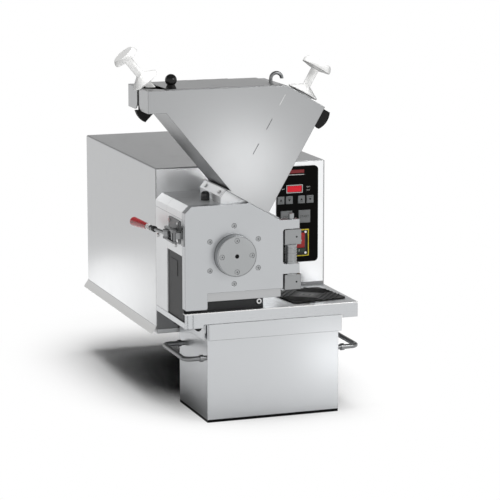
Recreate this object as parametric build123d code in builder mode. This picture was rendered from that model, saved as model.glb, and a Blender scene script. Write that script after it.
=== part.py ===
from build123d import *
from math import cos, radians, sin, tan
import os

os.makedirs("parts", exist_ok=True)

# Bench-top cutting mill.  Millimetres, +Z up, the operator's side is -Y and +X is to the right.
# The origin is the centre of the four stand bolts, on the underside of the base plate.

# ----------------------------------------------------------------------------- driving dimensions
# Housing
housing_width = 410
housing_depth = 572
housing_height = 382
sheet = 2
bend_radius = 4
lip_out = 13
lip_height = 18
lip_corner = 7
base_thickness = 10
base_flange_height = 30
stand_spacing_x = 340
stand_spacing_y = 480
stand_hole_radius = 4.25
vent_slot_length = 70
vent_slot_width = 5
vent_slot_pitch = 14
vent_column_spacing = 140
vent_slot_count = 9
vent_height = 230
rear_screw_inset = 12
screw_head_radius = 4.5
screw_head_height = 2.5
gland_inset = 60
gland_height = 60
gland_radius = 10
gland_bore_radius = 5
gland_nut_radius = 13
gland_length = 24

# Control panel and switch
panel_right_inset = 16.5
panel_width = 102
panel_bottom = 145
panel_height = 225
panel_corner = 10
panel_thickness = 3
display_centre_x = 43.5
display_centre_z = 317.5
display_width = 35
display_height = 14
display_recess = 0.6
small_key_centres = (9.8, 30.5, 60.4, 81.7)
small_key_width = 16.6
small_key_height = 17.5
small_key_z = 292
large_key_centres = (23.5, 67.9)
large_key_width = 28.4
large_key_height = 29.5
large_key_z = 252
key_proud = 1.4
key_flange = 1.5
key_gap = 0.3
switch_centre_x = 52.5
switch_centre_z = 191.5
switch_width = 50.3
switch_height = 64.3
switch_plate_thickness = 3
switch_border = 4
switch_border_height = 3
switch_button_width = 26
stop_button_height = 34
start_button_height = 10
switch_button_gap = 1.2
stop_button_proud = 7
start_button_proud = 5
switch_screw_radius = 3
switch_screw_height = 1.5
switch_screw_spacing_x = 34
switch_screw_spacing_z = 49

# Head: carrier, chamber and outlet
head_width = 226
carrier_depth = 85
chamber_depth = 108.5
chamber_top = 327
head_chamfer = 15
rotor_inset = 114
rotor_height = 215
bore_radius = 75
chamber_wall = 12
seat_angle = 30
seat_foot_z = 285.2
wedge_left_inset = 89
wedge_step = 14
seat_top_inset = 102
throat_right = 34
throat_length = 86
throat_front_wall = 10
throat_depth = 115
outlet_inset_left = 3
outlet_width = 214
outlet_bottom = 62
outlet_wall = 10
outlet_roof = 12
spout_width = 186
spout_top = 108
spout_shoulder = 134
outlet_cover_width = 48
outlet_cover_height = 35
outlet_cover_from_front = 42.5
outlet_cover_z = 180.5
outlet_cover_proud = 1
cassette_bar_left = 52
cassette_bar_width = 177
cassette_bar_bottom = 110
cassette_bar_height = 21
cassette_bar_thickness = 6
ring_screw_inset = 178.6
ring_screw_z = 103
ring_screw_radius = 6
index_knob_inset = 74.6
index_knob_from_front = 62.5
index_knob_radius = 10
index_knob_edge = 8
index_knob_height = 20
index_pin_radius = 4
index_pin_length = 22
index_travel = 6
head_bolt_radius = 5
head_bolt_height = 3.5
head_bolt_gap = 2
head_bolt_from_housing = 18
head_bolt_from_front = 45.5

# Rotor, shaft, drive
rotor_length = 84
rotor_end_gap = 1.5
hub_radius = 42
hub_pocket_radius = 26
hub_pocket_offset = 56
knife_count = 3
knife_tip_radius = 66.5
knife_thickness = 9
knife_root_radius = 24
shaft_radius = 12.5
shaft_into_motor = 60
nut_radius = 17
nut_length = 9
running_clearance = 0.08
shaft_hole_gap = 1
bearing_outer_radius = 26
bearing_width = 15
bearing_from_end = 10
cartridge_radius = 44
cartridge_flange_radius = 54
cartridge_flange = 6
motor_radius = 88
motor_length = 300
motor_flange_radius = 100
motor_flange = 12
fixed_knife_width = 12
fixed_knife_height = 20
cutting_gap = 0.8
fixed_knife_angles = (22, 158)
sieve_radius = 70
sieve_thickness = 2.5
sieve_rim_width = 5
sieve_hole = 7
sieve_rows = 5
sieve_columns = 9

# Door, cap and hinge
door_thickness = 20
door_right = 268
door_notch_x = 229
door_step_x = 52
door_leg_z = 95.5
door_sill_z = 132
door_top_z = 328
door_corner = 15
upper_tongue_z = (265, 286)
lower_tongue_z = (164, 186.5)
door_seat_gap = 0.5
leg_corner_radius = 4
notch_corner_radius = 6
door_bore_radius = 30
cap_radius = 46
cap_height = 20
cap_edge_radius = 1.5
cap_hole_radius = 4.5
cap_spigot_length = 14
cap_screw_circle_radius = 35
cap_screw_radius = 5.5
cap_screw_socket_radius = 2.6
cap_screw_count = 4
door_screw_circle_radius = 65
door_screw_radius = 5.5
door_screw_length = 12
door_screw_sink = 0.5
door_screw_count = 6
liner_radius = 74
liner_thickness = 3
hinge_inset = 251
hinge_pin_radius = 6
hinge_pin_top = 299
hinge_cap_radius = 6.5
hinge_cap_edge = 1
hinge_block_left = 234
hinge_block_right = 273
hinge_block_front_gap = 2.5
hinge_block_back = 30
upper_block_z = (229, 263)
lower_block_z = (127, 161)
hinge_barrel_radius = 13.5
hinge_barrel_grooves = 6
hinge_groove_depth = 1.5
set_screw_radius = 1.8
set_screw_depth = 3

# Toggle latch on the left of the head
latch_z = 262
latch_pivot_out = 24
latch_pivot_from_front = 33.5
latch_base_thickness = 3
latch_base_front = 8.5
latch_base_length = 80
latch_base_height = 52
latch_base_lift = 4
ear_thickness = 4
ear_inner_half = 6
ear_radius = 9
latch_pin_radius = 3
lever_angle = 98
lever_hub_radius = 8
lever_rod_radius = 4.5
lever_rod_length = 112
grip_start = 100
grip_length = 76
grip_small_radius = 7
grip_large_radius = 11
grip_end_radius = 5
draw_pin_radius_at = 16
draw_pin_angle = 75
leg_thickness = 4
leg_width = 10
leg_gap = 0.3
crossbar_radius = 3
crossbar_gap = 0.6
crossbar_out = 21
keeper_lip_out = 26
keeper_lip_thickness = 4
keeper_lip_height = 14
keeper_lip_front = 13.5
keeper_plate_thickness = 3
keeper_height = 44
keeper_plate_length = 16
latch_gap = 0.2
latch_screw_spacing_y = 60
latch_screw_spacing_z = 36

# Hopper
hopper_front_over = 8
hopper_depth = 147.5
hopper_top = 583.5
hopper_left_out = 77.7
hopper_deck_right = 241.8
mouth_length = 103.4
hopper_sheet = 2
hopper_wall_angle = 39.6
ear_height = 49.5
ear_slot = 15
ear_tab_radius = 18
hopper_flange = 3
flange_foot_gap = 2.5
lid_left_inset = 45.7
lid_right_inset = 19.8
lid_lap = 10
lid_thickness = 2
lid_knuckle_radius = 4.5
lid_pin_radius = 2.5
lid_knuckle_gap = 0.3
lid_knuckle_length = 24
lid_knuckle_count = 5
lid_knuckle_pitch = 24.5
knob_inset = 13
knob_from_front = 21.5
knob_radius = 13
knob_base_radius = 12.5
knob_neck_radius = 8
knob_centre_height = 18
hook_from_right = 11.4
hook_rise = 7
hook_arc_radius = 13
hook_wire_radius = 4
partition_length = 176
partition_from_deck = 12
bumper_radius = 42
bumper_thickness = 14
left_bumper_inset = 34.3
left_bumper_drop = 39.6
bumper_cut_angle = 45
right_bumper_drop = 18.2
right_bumper_out = 6.3
right_bumper_cut = 34
bracket_thickness = 3
bracket_screw_inset = 28
port_left_gap = 4
port_length = 40
port_width = 40

# Plungers: radii and heights along the axis, from the rim of the cone upwards
left_axis_from_corner = 21.7
left_rim_radius = 32
left_cap_radius = 29
left_cap_height = 16
left_stem_length = 43
right_axis_from_corner = 34.4
right_rim_radius = 35.5
right_cap_radius = 34
right_cap_height = 21
right_stem_length = 40
plunger_rod_radius = 9
plunger_rod_length = 190
plunger_cone_height = 19
plunger_cone_lip = 3
plunger_collar_radius = 25
plunger_collar_height = 8
plunger_hole_gap = 1
seat_gap = 0.3
plunger_cap_edge = 6

# Table, mat and collecting vessel
table_front_over = 17
table_top = 88.3
skirt_bottom = 54
left_strip_top = 68
left_strip_bottom = 55
table_front_strip = 14.5
table_cut_gap = 1
skirt_bend_insets = (6, 19)
skirt_bend_width = 2
skirt_bend_depth = 0.8
notch_left_inset = 43.6
notch_right_inset = 36.4
notch_top = 61.5
stop_inset = 32.5
stop_radius = 7
stop_thickness = 10
strip_screw_radius = 3.5
strip_screw_length = 4
strip_screw_from_carrier = 48
mat_side_gap = 24.5
mat_corner = 12
mat_base = 2
mat_rib = 1.5
mat_rib_width = 3.2
mat_rib_pitch = 11
mat_rib_count = 4
mat_offset_right = 7
mat_centre_from_front = 110
mat_turn = 8
mat_rib_turn = 45
vessel_left_inset = 52.7
vessel_right_inset = 45.5
vessel_front_over = 14.5
vessel_depth = 200
vessel_bottom = -163
vessel_sheet = 1.5
rim_top = 61
rim_height = 37
rim_out = 7.1
rim_sheet = 1.5
band_thickness = 2
band_left_inset = 56
rail_thickness = 4
rail_front_gap = 6
rail_height = 20
rail_foot_width = 16
rail_foot_height = 34
rail_foot_thickness = 4
handle_radius = 5.5
handle_out = 50
handle_bend = 16
handle_z = -16
handle_front = 8
handle_length = 158
handle_collar_radius = 8
handle_collar_length = 8
handle_collar_from_wall = 8

# --------------------------------------------------------------------------------- derived places
left = -housing_width / 2
right = housing_width / 2
front = -housing_depth / 2
rear = housing_depth / 2

head_right = left + head_width
carrier_front = front - carrier_depth
chamber_front = carrier_front - chamber_depth
rotor_x = left + rotor_inset
rotor_z = rotor_height
door_back = chamber_front
door_front = door_back - door_thickness
hinge_x = left + hinge_inset
hinge_y = door_back - door_thickness / 2
seat_foot_x = head_right
hopper_front = chamber_front - hopper_front_over
hopper_rear = hopper_front + hopper_depth
hopper_mid = (hopper_front + hopper_rear) / 2
table_front = chamber_front - table_front_over
panel_left = right - panel_right_inset - panel_width
panel_front = front - panel_thickness
vessel_left = left + vessel_left_inset
vessel_right = right - vessel_right_inset
vessel_width = vessel_right - vessel_left
vessel_front = chamber_front - vessel_front_over
vessel_rear = vessel_front + vessel_depth
seat_rise = tan(radians(seat_angle))
wall_run = tan(radians(hopper_wall_angle))


def across(y):
    """Upright sketch plane at depth y, seen by the operator: local x is X, local y is Z."""
    return Plane.XZ.offset(-y)


def beside(x):
    """Upright sketch plane seen from the right: local x is Y, local y is Z."""
    return Plane.YZ.offset(x)


def seat_z(x):
    """Height of the slanted hopper seat at x."""
    return seat_foot_z + (seat_foot_x - x) * seat_rise


# --------------------------------------------------------------------------------- housing
with BuildPart() as base_plate:
    inner_width = housing_width - 2 * sheet
    Box(inner_width, housing_depth, base_thickness, align=(Align.CENTER, Align.CENTER, Align.MIN))
    with Locations((-inner_width / 2, 0, base_thickness)):
        Box(sheet, housing_depth - 4 * sheet, base_flange_height, align=(Align.MIN, Align.CENTER, Align.MIN))
    with Locations((inner_width / 2, 0, base_thickness)):
        Box(sheet, housing_depth - 4 * sheet, base_flange_height, align=(Align.MAX, Align.CENTER, Align.MIN))
    with Locations((0, 0, base_thickness)):
        with GridLocations(stand_spacing_x, stand_spacing_y, 2, 2):
            Hole(stand_hole_radius, depth=base_thickness)
base_plate.part.label = "base_plate"
export_step(base_plate.part, "parts/base_plate.step")

with BuildPart() as housing_cover:
    with BuildSketch(across(rear)):
        with BuildLine():
            FilletPolyline(
                (left - lip_out, 0),
                (left, lip_height),
                (left, housing_height),
                (right, housing_height),
                (right, lip_height),
                (right + lip_out, 0),
                radius=bend_radius,
            )
            offset(amount=sheet, side=Side.RIGHT)
        make_face()
    extrude(amount=housing_depth)
    lip_corners = housing_cover.edges().filter_by(lambda e: e.length < 2 * sheet and e.center().Z < sheet)
    fillet(lip_corners, radius=lip_corner)
housing_cover.part.label = "housing_cover"
export_step(housing_cover.part, "parts/housing_cover.step")


def end_panel_outline():
    """Outline shared by the front and rear panels, inside the cover's bends."""
    panel_centre_z = (base_thickness + housing_height - sheet) / 2
    with Locations((0, panel_centre_z)):
        outline = Rectangle(inner_width, housing_height - sheet - base_thickness)
    top_corners = outline.vertices().group_by(Axis.Y)[-1]
    fillet(top_corners, radius=bend_radius - sheet)


key_windows = [
    (panel_left + x, small_key_z, small_key_width, small_key_height) for x in small_key_centres
] + [(panel_left + x, large_key_z, large_key_width, large_key_height) for x in large_key_centres]

switch_x = panel_left + switch_centre_x
buttons_height = stop_button_height + switch_button_gap + start_button_height
stop_z = switch_centre_z + buttons_height / 2 - stop_button_height / 2
start_z = switch_centre_z - buttons_height / 2 + start_button_height / 2


def button_holes(extra_width, extra_height):
    """Openings for the stop and start buttons, wider by the given amounts."""
    with Locations((switch_x, stop_z)):
        Rectangle(switch_button_width + extra_width, stop_button_height + extra_height, mode=Mode.SUBTRACT)
    with Locations((switch_x, start_z)):
        Rectangle(switch_button_width + extra_width, start_button_height + extra_height, mode=Mode.SUBTRACT)


with BuildPart() as housing_front:
    with BuildSketch(across(front + sheet)):
        end_panel_outline()
        with Locations((rotor_x, rotor_z)):
            Circle(cartridge_radius, mode=Mode.SUBTRACT)
        for x, z, width, height in key_windows:
            with Locations((x, z)):
                Rectangle(width + 2 * key_gap, height + 2 * key_flange + 2 * key_gap, mode=Mode.SUBTRACT)
        button_holes(2 * key_gap, 2 * key_gap)
    extrude(amount=sheet)
housing_front.part.label = "housing_front"
export_step(housing_front.part, "parts/housing_front.step")

gland_x = right - gland_inset
with BuildPart() as rear_panel:
    with BuildSketch(across(rear)):
        end_panel_outline()
        with Locations((0, vent_height)):
            with GridLocations(vent_column_spacing, vent_slot_pitch, 2, vent_slot_count):
                SlotOverall(vent_slot_length, vent_slot_width, mode=Mode.SUBTRACT)
        with Locations((gland_x, gland_height)):
            Circle(gland_radius, mode=Mode.SUBTRACT)
    extrude(amount=sheet)
rear_panel.part.label = "rear_panel"
export_step(rear_panel.part, "parts/rear_panel.step")

with BuildPart() as mains_gland:
    with BuildSketch(across(rear + gland_length)):
        with Locations((gland_x, gland_height)):
            Circle(gland_radius)
            Circle(gland_bore_radius, mode=Mode.SUBTRACT)
    extrude(amount=gland_length + sheet)
    with BuildSketch(across(rear + gland_length / 3)):
        with Locations((gland_x, gland_height)):
            RegularPolygon(gland_nut_radius, 6)
            Circle(gland_bore_radius, mode=Mode.SUBTRACT)
    extrude(amount=gland_length / 3)
mains_gland.part.label = "mains_gland"
export_step(mains_gland.part, "parts/mains_gland.step")


# --------------------------------------------------------------------------------- control panel
panel_centre = (panel_left + panel_width / 2, panel_bottom + panel_height / 2)
display_centre = (panel_left + display_centre_x, display_centre_z)
with BuildPart() as control_panel:
    with BuildSketch(across(front)):
        with Locations(panel_centre):
            RectangleRounded(panel_width, panel_height, panel_corner)
        with Locations(display_centre):
            Rectangle(display_width, display_height, mode=Mode.SUBTRACT)
        for x, z, width, height in key_windows:
            with Locations((x, z)):
                Rectangle(width + 2 * key_gap, height + 2 * key_gap, mode=Mode.SUBTRACT)
        button_holes(2 * key_gap, 2 * key_gap)
    extrude(amount=panel_thickness)
control_panel.part.label = "control_panel"
export_step(control_panel.part, "parts/control_panel.step")

with BuildPart() as display_window:
    with BuildSketch(across(front)):
        with Locations(display_centre):
            Rectangle(display_width, display_height)
    extrude(amount=panel_thickness - display_recess)
display_window.part.label = "display_window"
export_step(display_window.part, "parts/display_window.step")

for number, (x, z, width, height) in enumerate(key_windows, start=1):
    with BuildPart() as key:
        with BuildSketch(across(front)):
            with Locations((x, z)):
                Rectangle(width, height)
        extrude(amount=panel_thickness + key_proud)
        fillet(key.edges().group_by(Axis.Y)[0], radius=key_proud / 3)
        with BuildSketch(across(front + key_flange)):
            with Locations((x, z)):
                Rectangle(width, height + 2 * key_flange)
        extrude(amount=key_flange)
    key.part.label = f"key_{number}"
    export_step(key.part, f"parts/key_{number}.step")

switch_centre = (switch_x, switch_centre_z)
switch_face = panel_front - switch_plate_thickness
with BuildPart() as switch_frame:
    with BuildSketch(across(panel_front)):
        with Locations(switch_centre):
            Rectangle(switch_width, switch_height)
        button_holes(2 * key_gap, 2 * key_gap)
    extrude(amount=switch_plate_thickness)
    with BuildSketch(across(switch_face)):
        with Locations(switch_centre):
            Rectangle(switch_width, switch_height)
            Rectangle(switch_width - 2 * switch_border, switch_height - 2 * switch_border, mode=Mode.SUBTRACT)
    extrude(amount=switch_border_height)
switch_frame.part.label = "switch_frame"
export_step(switch_frame.part, "parts/switch_frame.step")


def switch_button(height, z, proud):
    """Push button through the switch plate, held by ears behind the front sheet."""
    with BuildPart() as button:
        with BuildSketch(across(front + sheet)):
            with Locations((switch_x, z)):
                Rectangle(switch_button_width, height)
        extrude(amount=sheet + panel_thickness + switch_plate_thickness + proud)
        fillet(button.edges().group_by(Axis.Y)[0], radius=key_proud)
        with BuildSketch(across(front + sheet + key_flange)):
            with Locations((switch_x, z)):
                Rectangle(switch_button_width + 4 * key_flange, height)
        extrude(amount=key_flange)
    return button.part


stop_button = switch_button(stop_button_height, stop_z, stop_button_proud)
stop_button.label = "stop_button"
export_step(stop_button, "parts/stop_button.step")

start_button = switch_button(start_button_height, start_z, start_button_proud)
start_button.label = "start_button"
export_step(start_button, "parts/start_button.step")


# --------------------------------------------------------------------------------- head
def head_outline(bottom):
    """Front outline of the head: chamfered top left, slanted hopper seat top right."""
    Polygon(
        (left, bottom),
        (left, chamber_top - head_chamfer),
        (left + head_chamfer, chamber_top),
        (seat_foot_x - (chamber_top - seat_foot_z) / seat_rise, chamber_top),
        (head_right, seat_foot_z),
        (head_right, bottom),
        align=None,
    )


wedge_left = left + wedge_left_inset
seat_top_x = left + seat_top_inset
seat_top_z = seat_z(seat_top_x)


def wedge_outline():
    """Block that carries the seat on above the flat top of the head."""
    Polygon(
        (wedge_left, chamber_top),
        (wedge_left, chamber_top + wedge_step),
        (seat_top_x, seat_top_z),
        (seat_foot_x - (chamber_top - seat_foot_z) / seat_rise, chamber_top),
        align=None,
    )


with BuildPart() as head_carrier:
    with BuildSketch(across(front)):
        head_outline(left_strip_top)
    extrude(amount=carrier_depth)
    with BuildSketch(across(hopper_rear)):
        wedge_outline()
    extrude(amount=hopper_rear - carrier_front)
    with BuildSketch(across(front)):
        with Locations((rotor_x, rotor_z)):
            Circle(cartridge_radius)
    extrude(amount=carrier_depth, mode=Mode.SUBTRACT)
head_carrier.part.label = "head_carrier"
export_step(head_carrier.part, "parts/head_carrier.step")

seat_direction = (-cos(radians(seat_angle)), 0, sin(radians(seat_angle)))
seat_normal = (sin(radians(seat_angle)), 0, cos(radians(seat_angle)))
bore_front = chamber_front
bore_back = carrier_front - chamber_wall
throat_front = chamber_front + throat_front_wall
throat_width = bore_back - throat_front
seat_plane = Plane(origin=(seat_foot_x, throat_front, seat_foot_z), x_dir=seat_direction, z_dir=seat_normal)


def fixed_knife_planes():
    """Planes across the mill at each fixed knife, local x pointing out from the rotor."""
    planes = []
    for angle in fixed_knife_angles:
        outward = (cos(radians(angle)), 0, sin(radians(angle)))
        planes.append(Plane(origin=(rotor_x, bore_back, rotor_z), x_dir=outward, z_dir=(0, -1, 0)))
    return planes


fixed_knife_inner = knife_tip_radius + cutting_gap
fixed_knife_middle = fixed_knife_inner + fixed_knife_height / 2
chamber_inner_length = bore_back - bore_front

with BuildPart() as chamber_body:
    with BuildSketch(across(carrier_front)):
        head_outline(rotor_z)
        wedge_outline()
    extrude(amount=chamber_depth)
    with BuildSketch(across(bore_back)):
        with Locations((rotor_x, rotor_z)):
            Circle(bore_radius)
    extrude(amount=chamber_inner_length, mode=Mode.SUBTRACT)
    with BuildSketch(across(carrier_front)):
        with Locations((rotor_x, rotor_z)):
            Circle(shaft_radius + shaft_hole_gap)
    extrude(amount=chamber_wall, mode=Mode.SUBTRACT)
    with BuildSketch(seat_plane):
        with Locations((throat_right + throat_length / 2, -throat_width / 2)):
            Rectangle(throat_length, throat_width)
    extrude(amount=-throat_depth, mode=Mode.SUBTRACT)
    for plane in fixed_knife_planes():
        with BuildSketch(plane):
            with Locations((fixed_knife_middle, 0)):
                Rectangle(fixed_knife_height, fixed_knife_width)
        extrude(amount=throat_width, mode=Mode.SUBTRACT)
    with BuildSketch(Plane.XY.offset(chamber_top)):
        with Locations((left + index_knob_inset, chamber_front + index_knob_from_front)):
            Circle(index_pin_radius + running_clearance)
    extrude(amount=-index_pin_length, mode=Mode.SUBTRACT)
chamber_body.part.label = "chamber_body"
export_step(chamber_body.part, "parts/chamber_body.step")

with BuildPart() as fixed_knives:
    for plane in fixed_knife_planes():
        with BuildSketch(plane):
            with Locations((fixed_knife_middle, 0)):
                Rectangle(fixed_knife_height, fixed_knife_width)
        extrude(amount=throat_width)
fixed_knives.part.label = "fixed_knives"
export_step(fixed_knives.part, "parts/fixed_knives.step")

with BuildPart() as index_knob:
    with BuildSketch(Plane.XY.offset(chamber_top)):
        with Locations((left + index_knob_inset, chamber_front + index_knob_from_front)):
            Circle(index_knob_radius)
    extrude(amount=index_knob_height)
    fillet(index_knob.edges().group_by(Axis.Z)[-1], radius=index_knob_edge)
    with BuildSketch(Plane.XY.offset(chamber_top)):
        with Locations((left + index_knob_inset, chamber_front + index_knob_from_front)):
            Circle(index_pin_radius)
    extrude(amount=index_travel - index_pin_length)
index_knob.part.label = "index_knob"
export_step(index_knob.part, "parts/index_knob.step")

outlet_left = left + outlet_inset_left
outlet_right = outlet_left + outlet_width
outlet_top = rotor_z
spout_right = outlet_left + spout_width


def outlet_outline(wall, roof):
    """Front outline of the outlet, narrower at the spout, drawn in by the wall and the roof."""
    Polygon(
        (outlet_left + wall, outlet_bottom),
        (outlet_left + wall, outlet_top - roof),
        (outlet_right - wall, outlet_top - roof),
        (outlet_right - wall, spout_shoulder),
        (spout_right - wall, spout_top),
        (spout_right - wall, outlet_bottom),
        align=None,
    )


with BuildPart() as outlet_housing:
    with BuildSketch(across(carrier_front)):
        outlet_outline(0, 0)
    extrude(amount=chamber_depth)
    with BuildSketch(across(bore_back)):
        outlet_outline(outlet_wall, outlet_roof)
    extrude(amount=throat_width, mode=Mode.SUBTRACT)
    with BuildSketch(across(bore_back)):
        with Locations((rotor_x, rotor_z)):
            Circle(bore_radius)
    extrude(amount=chamber_inner_length, mode=Mode.SUBTRACT)
    with BuildSketch(across(carrier_front)):
        with Locations((rotor_x, rotor_z)):
            Circle(shaft_radius + shaft_hole_gap)
    extrude(amount=chamber_wall, mode=Mode.SUBTRACT)
    with BuildSketch(beside(outlet_left)):
        with Locations((carrier_front - outlet_cover_from_front, outlet_cover_z)):
            Rectangle(outlet_cover_width, outlet_cover_height)
    extrude(amount=-outlet_cover_proud)
outlet_housing.part.label = "outlet_housing"
export_step(outlet_housing.part, "parts/outlet_housing.step")

cassette_front = chamber_front + liner_thickness + door_seat_gap
cassette_back = bore_back - door_seat_gap
cassette_length = cassette_back - cassette_front


def half_ring(outer, inner):
    """Lower half of a ring about the rotor axis."""
    with Locations((rotor_x, rotor_z)):
        Circle(outer)
        Circle(inner, mode=Mode.SUBTRACT)
        Rectangle(2 * outer, outer, align=(Align.CENTER, Align.MIN), mode=Mode.SUBTRACT)


with BuildPart() as sieve_cassette:
    with BuildSketch(across(cassette_back)):
        half_ring(sieve_radius + sieve_thickness, sieve_radius)
    extrude(amount=cassette_length)
    for column in range(sieve_columns):
        angle = radians(180 + 180 * (column + 1) / (sieve_columns + 1))
        outward = (cos(angle), 0, sin(angle))
        centre = (rotor_x, (cassette_front + cassette_back) / 2, rotor_z)
        with BuildSketch(Plane(origin=centre, x_dir=(0, 1, 0), z_dir=outward)):
            with GridLocations((cassette_length - 2 * sieve_rim_width) / sieve_rows, 1, sieve_rows, 1):
                Rectangle(sieve_hole, sieve_hole)
        extrude(amount=bore_radius, mode=Mode.SUBTRACT)
    for rim_back in (cassette_back, cassette_front + sieve_rim_width):
        with BuildSketch(across(rim_back)):
            half_ring(bore_radius - running_clearance, sieve_radius)
        extrude(amount=sieve_rim_width)
sieve_cassette.part.label = "sieve_cassette"
export_step(sieve_cassette.part, "parts/sieve_cassette.step")

with BuildPart() as cassette_bar:
    with BuildSketch(across(chamber_front)):
        with Locations((left + cassette_bar_left, cassette_bar_bottom)):
            Rectangle(cassette_bar_width, cassette_bar_height, align=(Align.MIN, Align.MIN))
    extrude(amount=cassette_bar_thickness)
cassette_bar.part.label = "cassette_bar"
export_step(cassette_bar.part, "parts/cassette_bar.step")


# --------------------------------------------------------------------------------- rotor and drive
cartridge_back = front + sheet
cartridge_end = cartridge_back + cartridge_flange
motor_end = cartridge_end + motor_flange + motor_length
rotor_back = bore_back - rotor_end_gap
rotor_front = rotor_back - rotor_length

with BuildPart() as bearing_cartridge:
    with BuildSketch(across(cartridge_back)):
        with Locations((rotor_x, rotor_z)):
            Circle(cartridge_radius)
    extrude(amount=carrier_depth + sheet)
    with BuildSketch(across(cartridge_end)):
        with Locations((rotor_x, rotor_z)):
            Circle(cartridge_flange_radius)
    extrude(amount=cartridge_flange)
    with BuildSketch(across(cartridge_end)):
        with Locations((rotor_x, rotor_z)):
            Circle(bearing_outer_radius)
    extrude(amount=carrier_depth + sheet + cartridge_flange, mode=Mode.SUBTRACT)
    for bearing_back in (carrier_front + bearing_from_end + bearing_width, front - bearing_from_end):
        with BuildSketch(across(bearing_back)):
            with Locations((rotor_x, rotor_z)):
                Circle(bearing_outer_radius - seat_gap)
                Circle(shaft_radius + running_clearance, mode=Mode.SUBTRACT)
        extrude(amount=bearing_width)
bearing_cartridge.part.label = "bearing_cartridge"
export_step(bearing_cartridge.part, "parts/bearing_cartridge.step")

with BuildPart() as motor:
    with BuildSketch(across(cartridge_end + motor_flange)):
        with Locations((rotor_x, rotor_z)):
            Circle(motor_flange_radius)
    extrude(amount=motor_flange)
    with BuildSketch(across(motor_end)):
        with Locations((rotor_x, rotor_z)):
            Circle(motor_radius)
    extrude(amount=motor_length)
    with BuildSketch(across(cartridge_end + shaft_into_motor)):
        with Locations((rotor_x, rotor_z)):
            Circle(shaft_radius + running_clearance)
    extrude(amount=shaft_into_motor, mode=Mode.SUBTRACT)
motor.part.label = "motor"
export_step(motor.part, "parts/motor.step")

shaft_back = cartridge_end + shaft_into_motor - door_seat_gap
with BuildPart() as rotor_shaft:
    with BuildSketch(across(shaft_back)):
        with Locations((rotor_x, rotor_z)):
            Circle(shaft_radius)
    extrude(amount=shaft_back - rotor_front)
rotor_shaft.part.label = "rotor_shaft"
export_step(rotor_shaft.part, "parts/rotor_shaft.step")


def knife_blades(mode):
    """Blades standing out from the hub, at equal angles."""
    with Locations((rotor_x, rotor_z)):
        with PolarLocations((knife_tip_radius + knife_root_radius) / 2, knife_count):
            Rectangle(knife_tip_radius - knife_root_radius, knife_thickness, mode=mode)


with BuildPart() as rotor_body:
    with BuildSketch(across(rotor_back)):
        with Locations((rotor_x, rotor_z)):
            Circle(hub_radius)
            Circle(shaft_radius, mode=Mode.SUBTRACT)
            with PolarLocations(hub_pocket_offset, knife_count, start_angle=180 / knife_count):
                Circle(hub_pocket_radius, mode=Mode.SUBTRACT)
        knife_blades(Mode.SUBTRACT)
    extrude(amount=rotor_length)
rotor_body.part.label = "rotor_body"
export_step(rotor_body.part, "parts/rotor_body.step")

with BuildPart() as rotor_knives:
    with BuildSketch(across(rotor_back)):
        knife_blades(Mode.ADD)
    extrude(amount=rotor_length)
rotor_knives.part.label = "rotor_knives"
export_step(rotor_knives.part, "parts/rotor_knives.step")

with BuildPart() as rotor_nut:
    with BuildSketch(across(rotor_front)):
        with Locations((rotor_x, rotor_z)):
            RegularPolygon(nut_radius, 6)
    extrude(amount=nut_length)
rotor_nut.part.label = "rotor_nut"
export_step(rotor_nut.part, "parts/rotor_nut.step")

# --------------------------------------------------------------------------------- door
door_left = left
slant_drop = door_seat_gap / cos(radians(seat_angle))


def seat_x(z):
    """X on the slanted top edge of the door at height z."""
    return seat_foot_x - (z + slant_drop - seat_foot_z) / seat_rise


def corners_near(sketch, *places):
    """Vertices of the sketch that lie at the given places."""
    return [v for v in sketch.vertices() if any(abs(v.X - x) + abs(v.Y - z) < 1 for x, z in places)]


tongue_x = left + door_right
notch_x = left + door_notch_x
step_x = left + door_step_x
with BuildPart() as door_plate:
    with BuildSketch(across(door_back)) as door_outline:
        Polygon(
            (door_left, door_leg_z),
            (door_left, door_top_z - door_corner),
            (door_left + door_corner, door_top_z),
            (seat_x(door_top_z), door_top_z),
            (seat_x(upper_tongue_z[1]), upper_tongue_z[1]),
            (tongue_x, upper_tongue_z[1]),
            (tongue_x, upper_tongue_z[0]),
            (notch_x, upper_tongue_z[0]),
            (notch_x, lower_tongue_z[1]),
            (tongue_x, lower_tongue_z[1]),
            (tongue_x, lower_tongue_z[0]),
            (notch_x, lower_tongue_z[0]),
            (notch_x, door_sill_z),
            (step_x, door_sill_z),
            (step_x, door_leg_z),
            align=None,
        )
        leg_corners = corners_near(door_outline, (door_left, door_leg_z), (step_x, door_leg_z))
        fillet(leg_corners, radius=leg_corner_radius)
        notch_corners = corners_near(door_outline, (notch_x, upper_tongue_z[0]), (notch_x, lower_tongue_z[1]))
        fillet(notch_corners, radius=notch_corner_radius)
        with Locations((rotor_x, rotor_z)):
            Circle(door_bore_radius, mode=Mode.SUBTRACT)
    extrude(amount=door_thickness)
    with BuildSketch(across(door_front)):
        with Locations((rotor_x, rotor_z)):
            with PolarLocations(door_screw_circle_radius, door_screw_count, start_angle=30):
                Circle(door_screw_radius)
    extrude(amount=-door_screw_sink - door_screw_length, mode=Mode.SUBTRACT)
    with BuildSketch(Plane.XY.offset(lower_tongue_z[0])):
        with Locations((hinge_x, hinge_y)):
            Circle(hinge_pin_radius + running_clearance)
    extrude(amount=upper_tongue_z[1] - lower_tongue_z[0], mode=Mode.SUBTRACT)
door_plate.part.label = "door_plate"
export_step(door_plate.part, "parts/door_plate.step")

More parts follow.
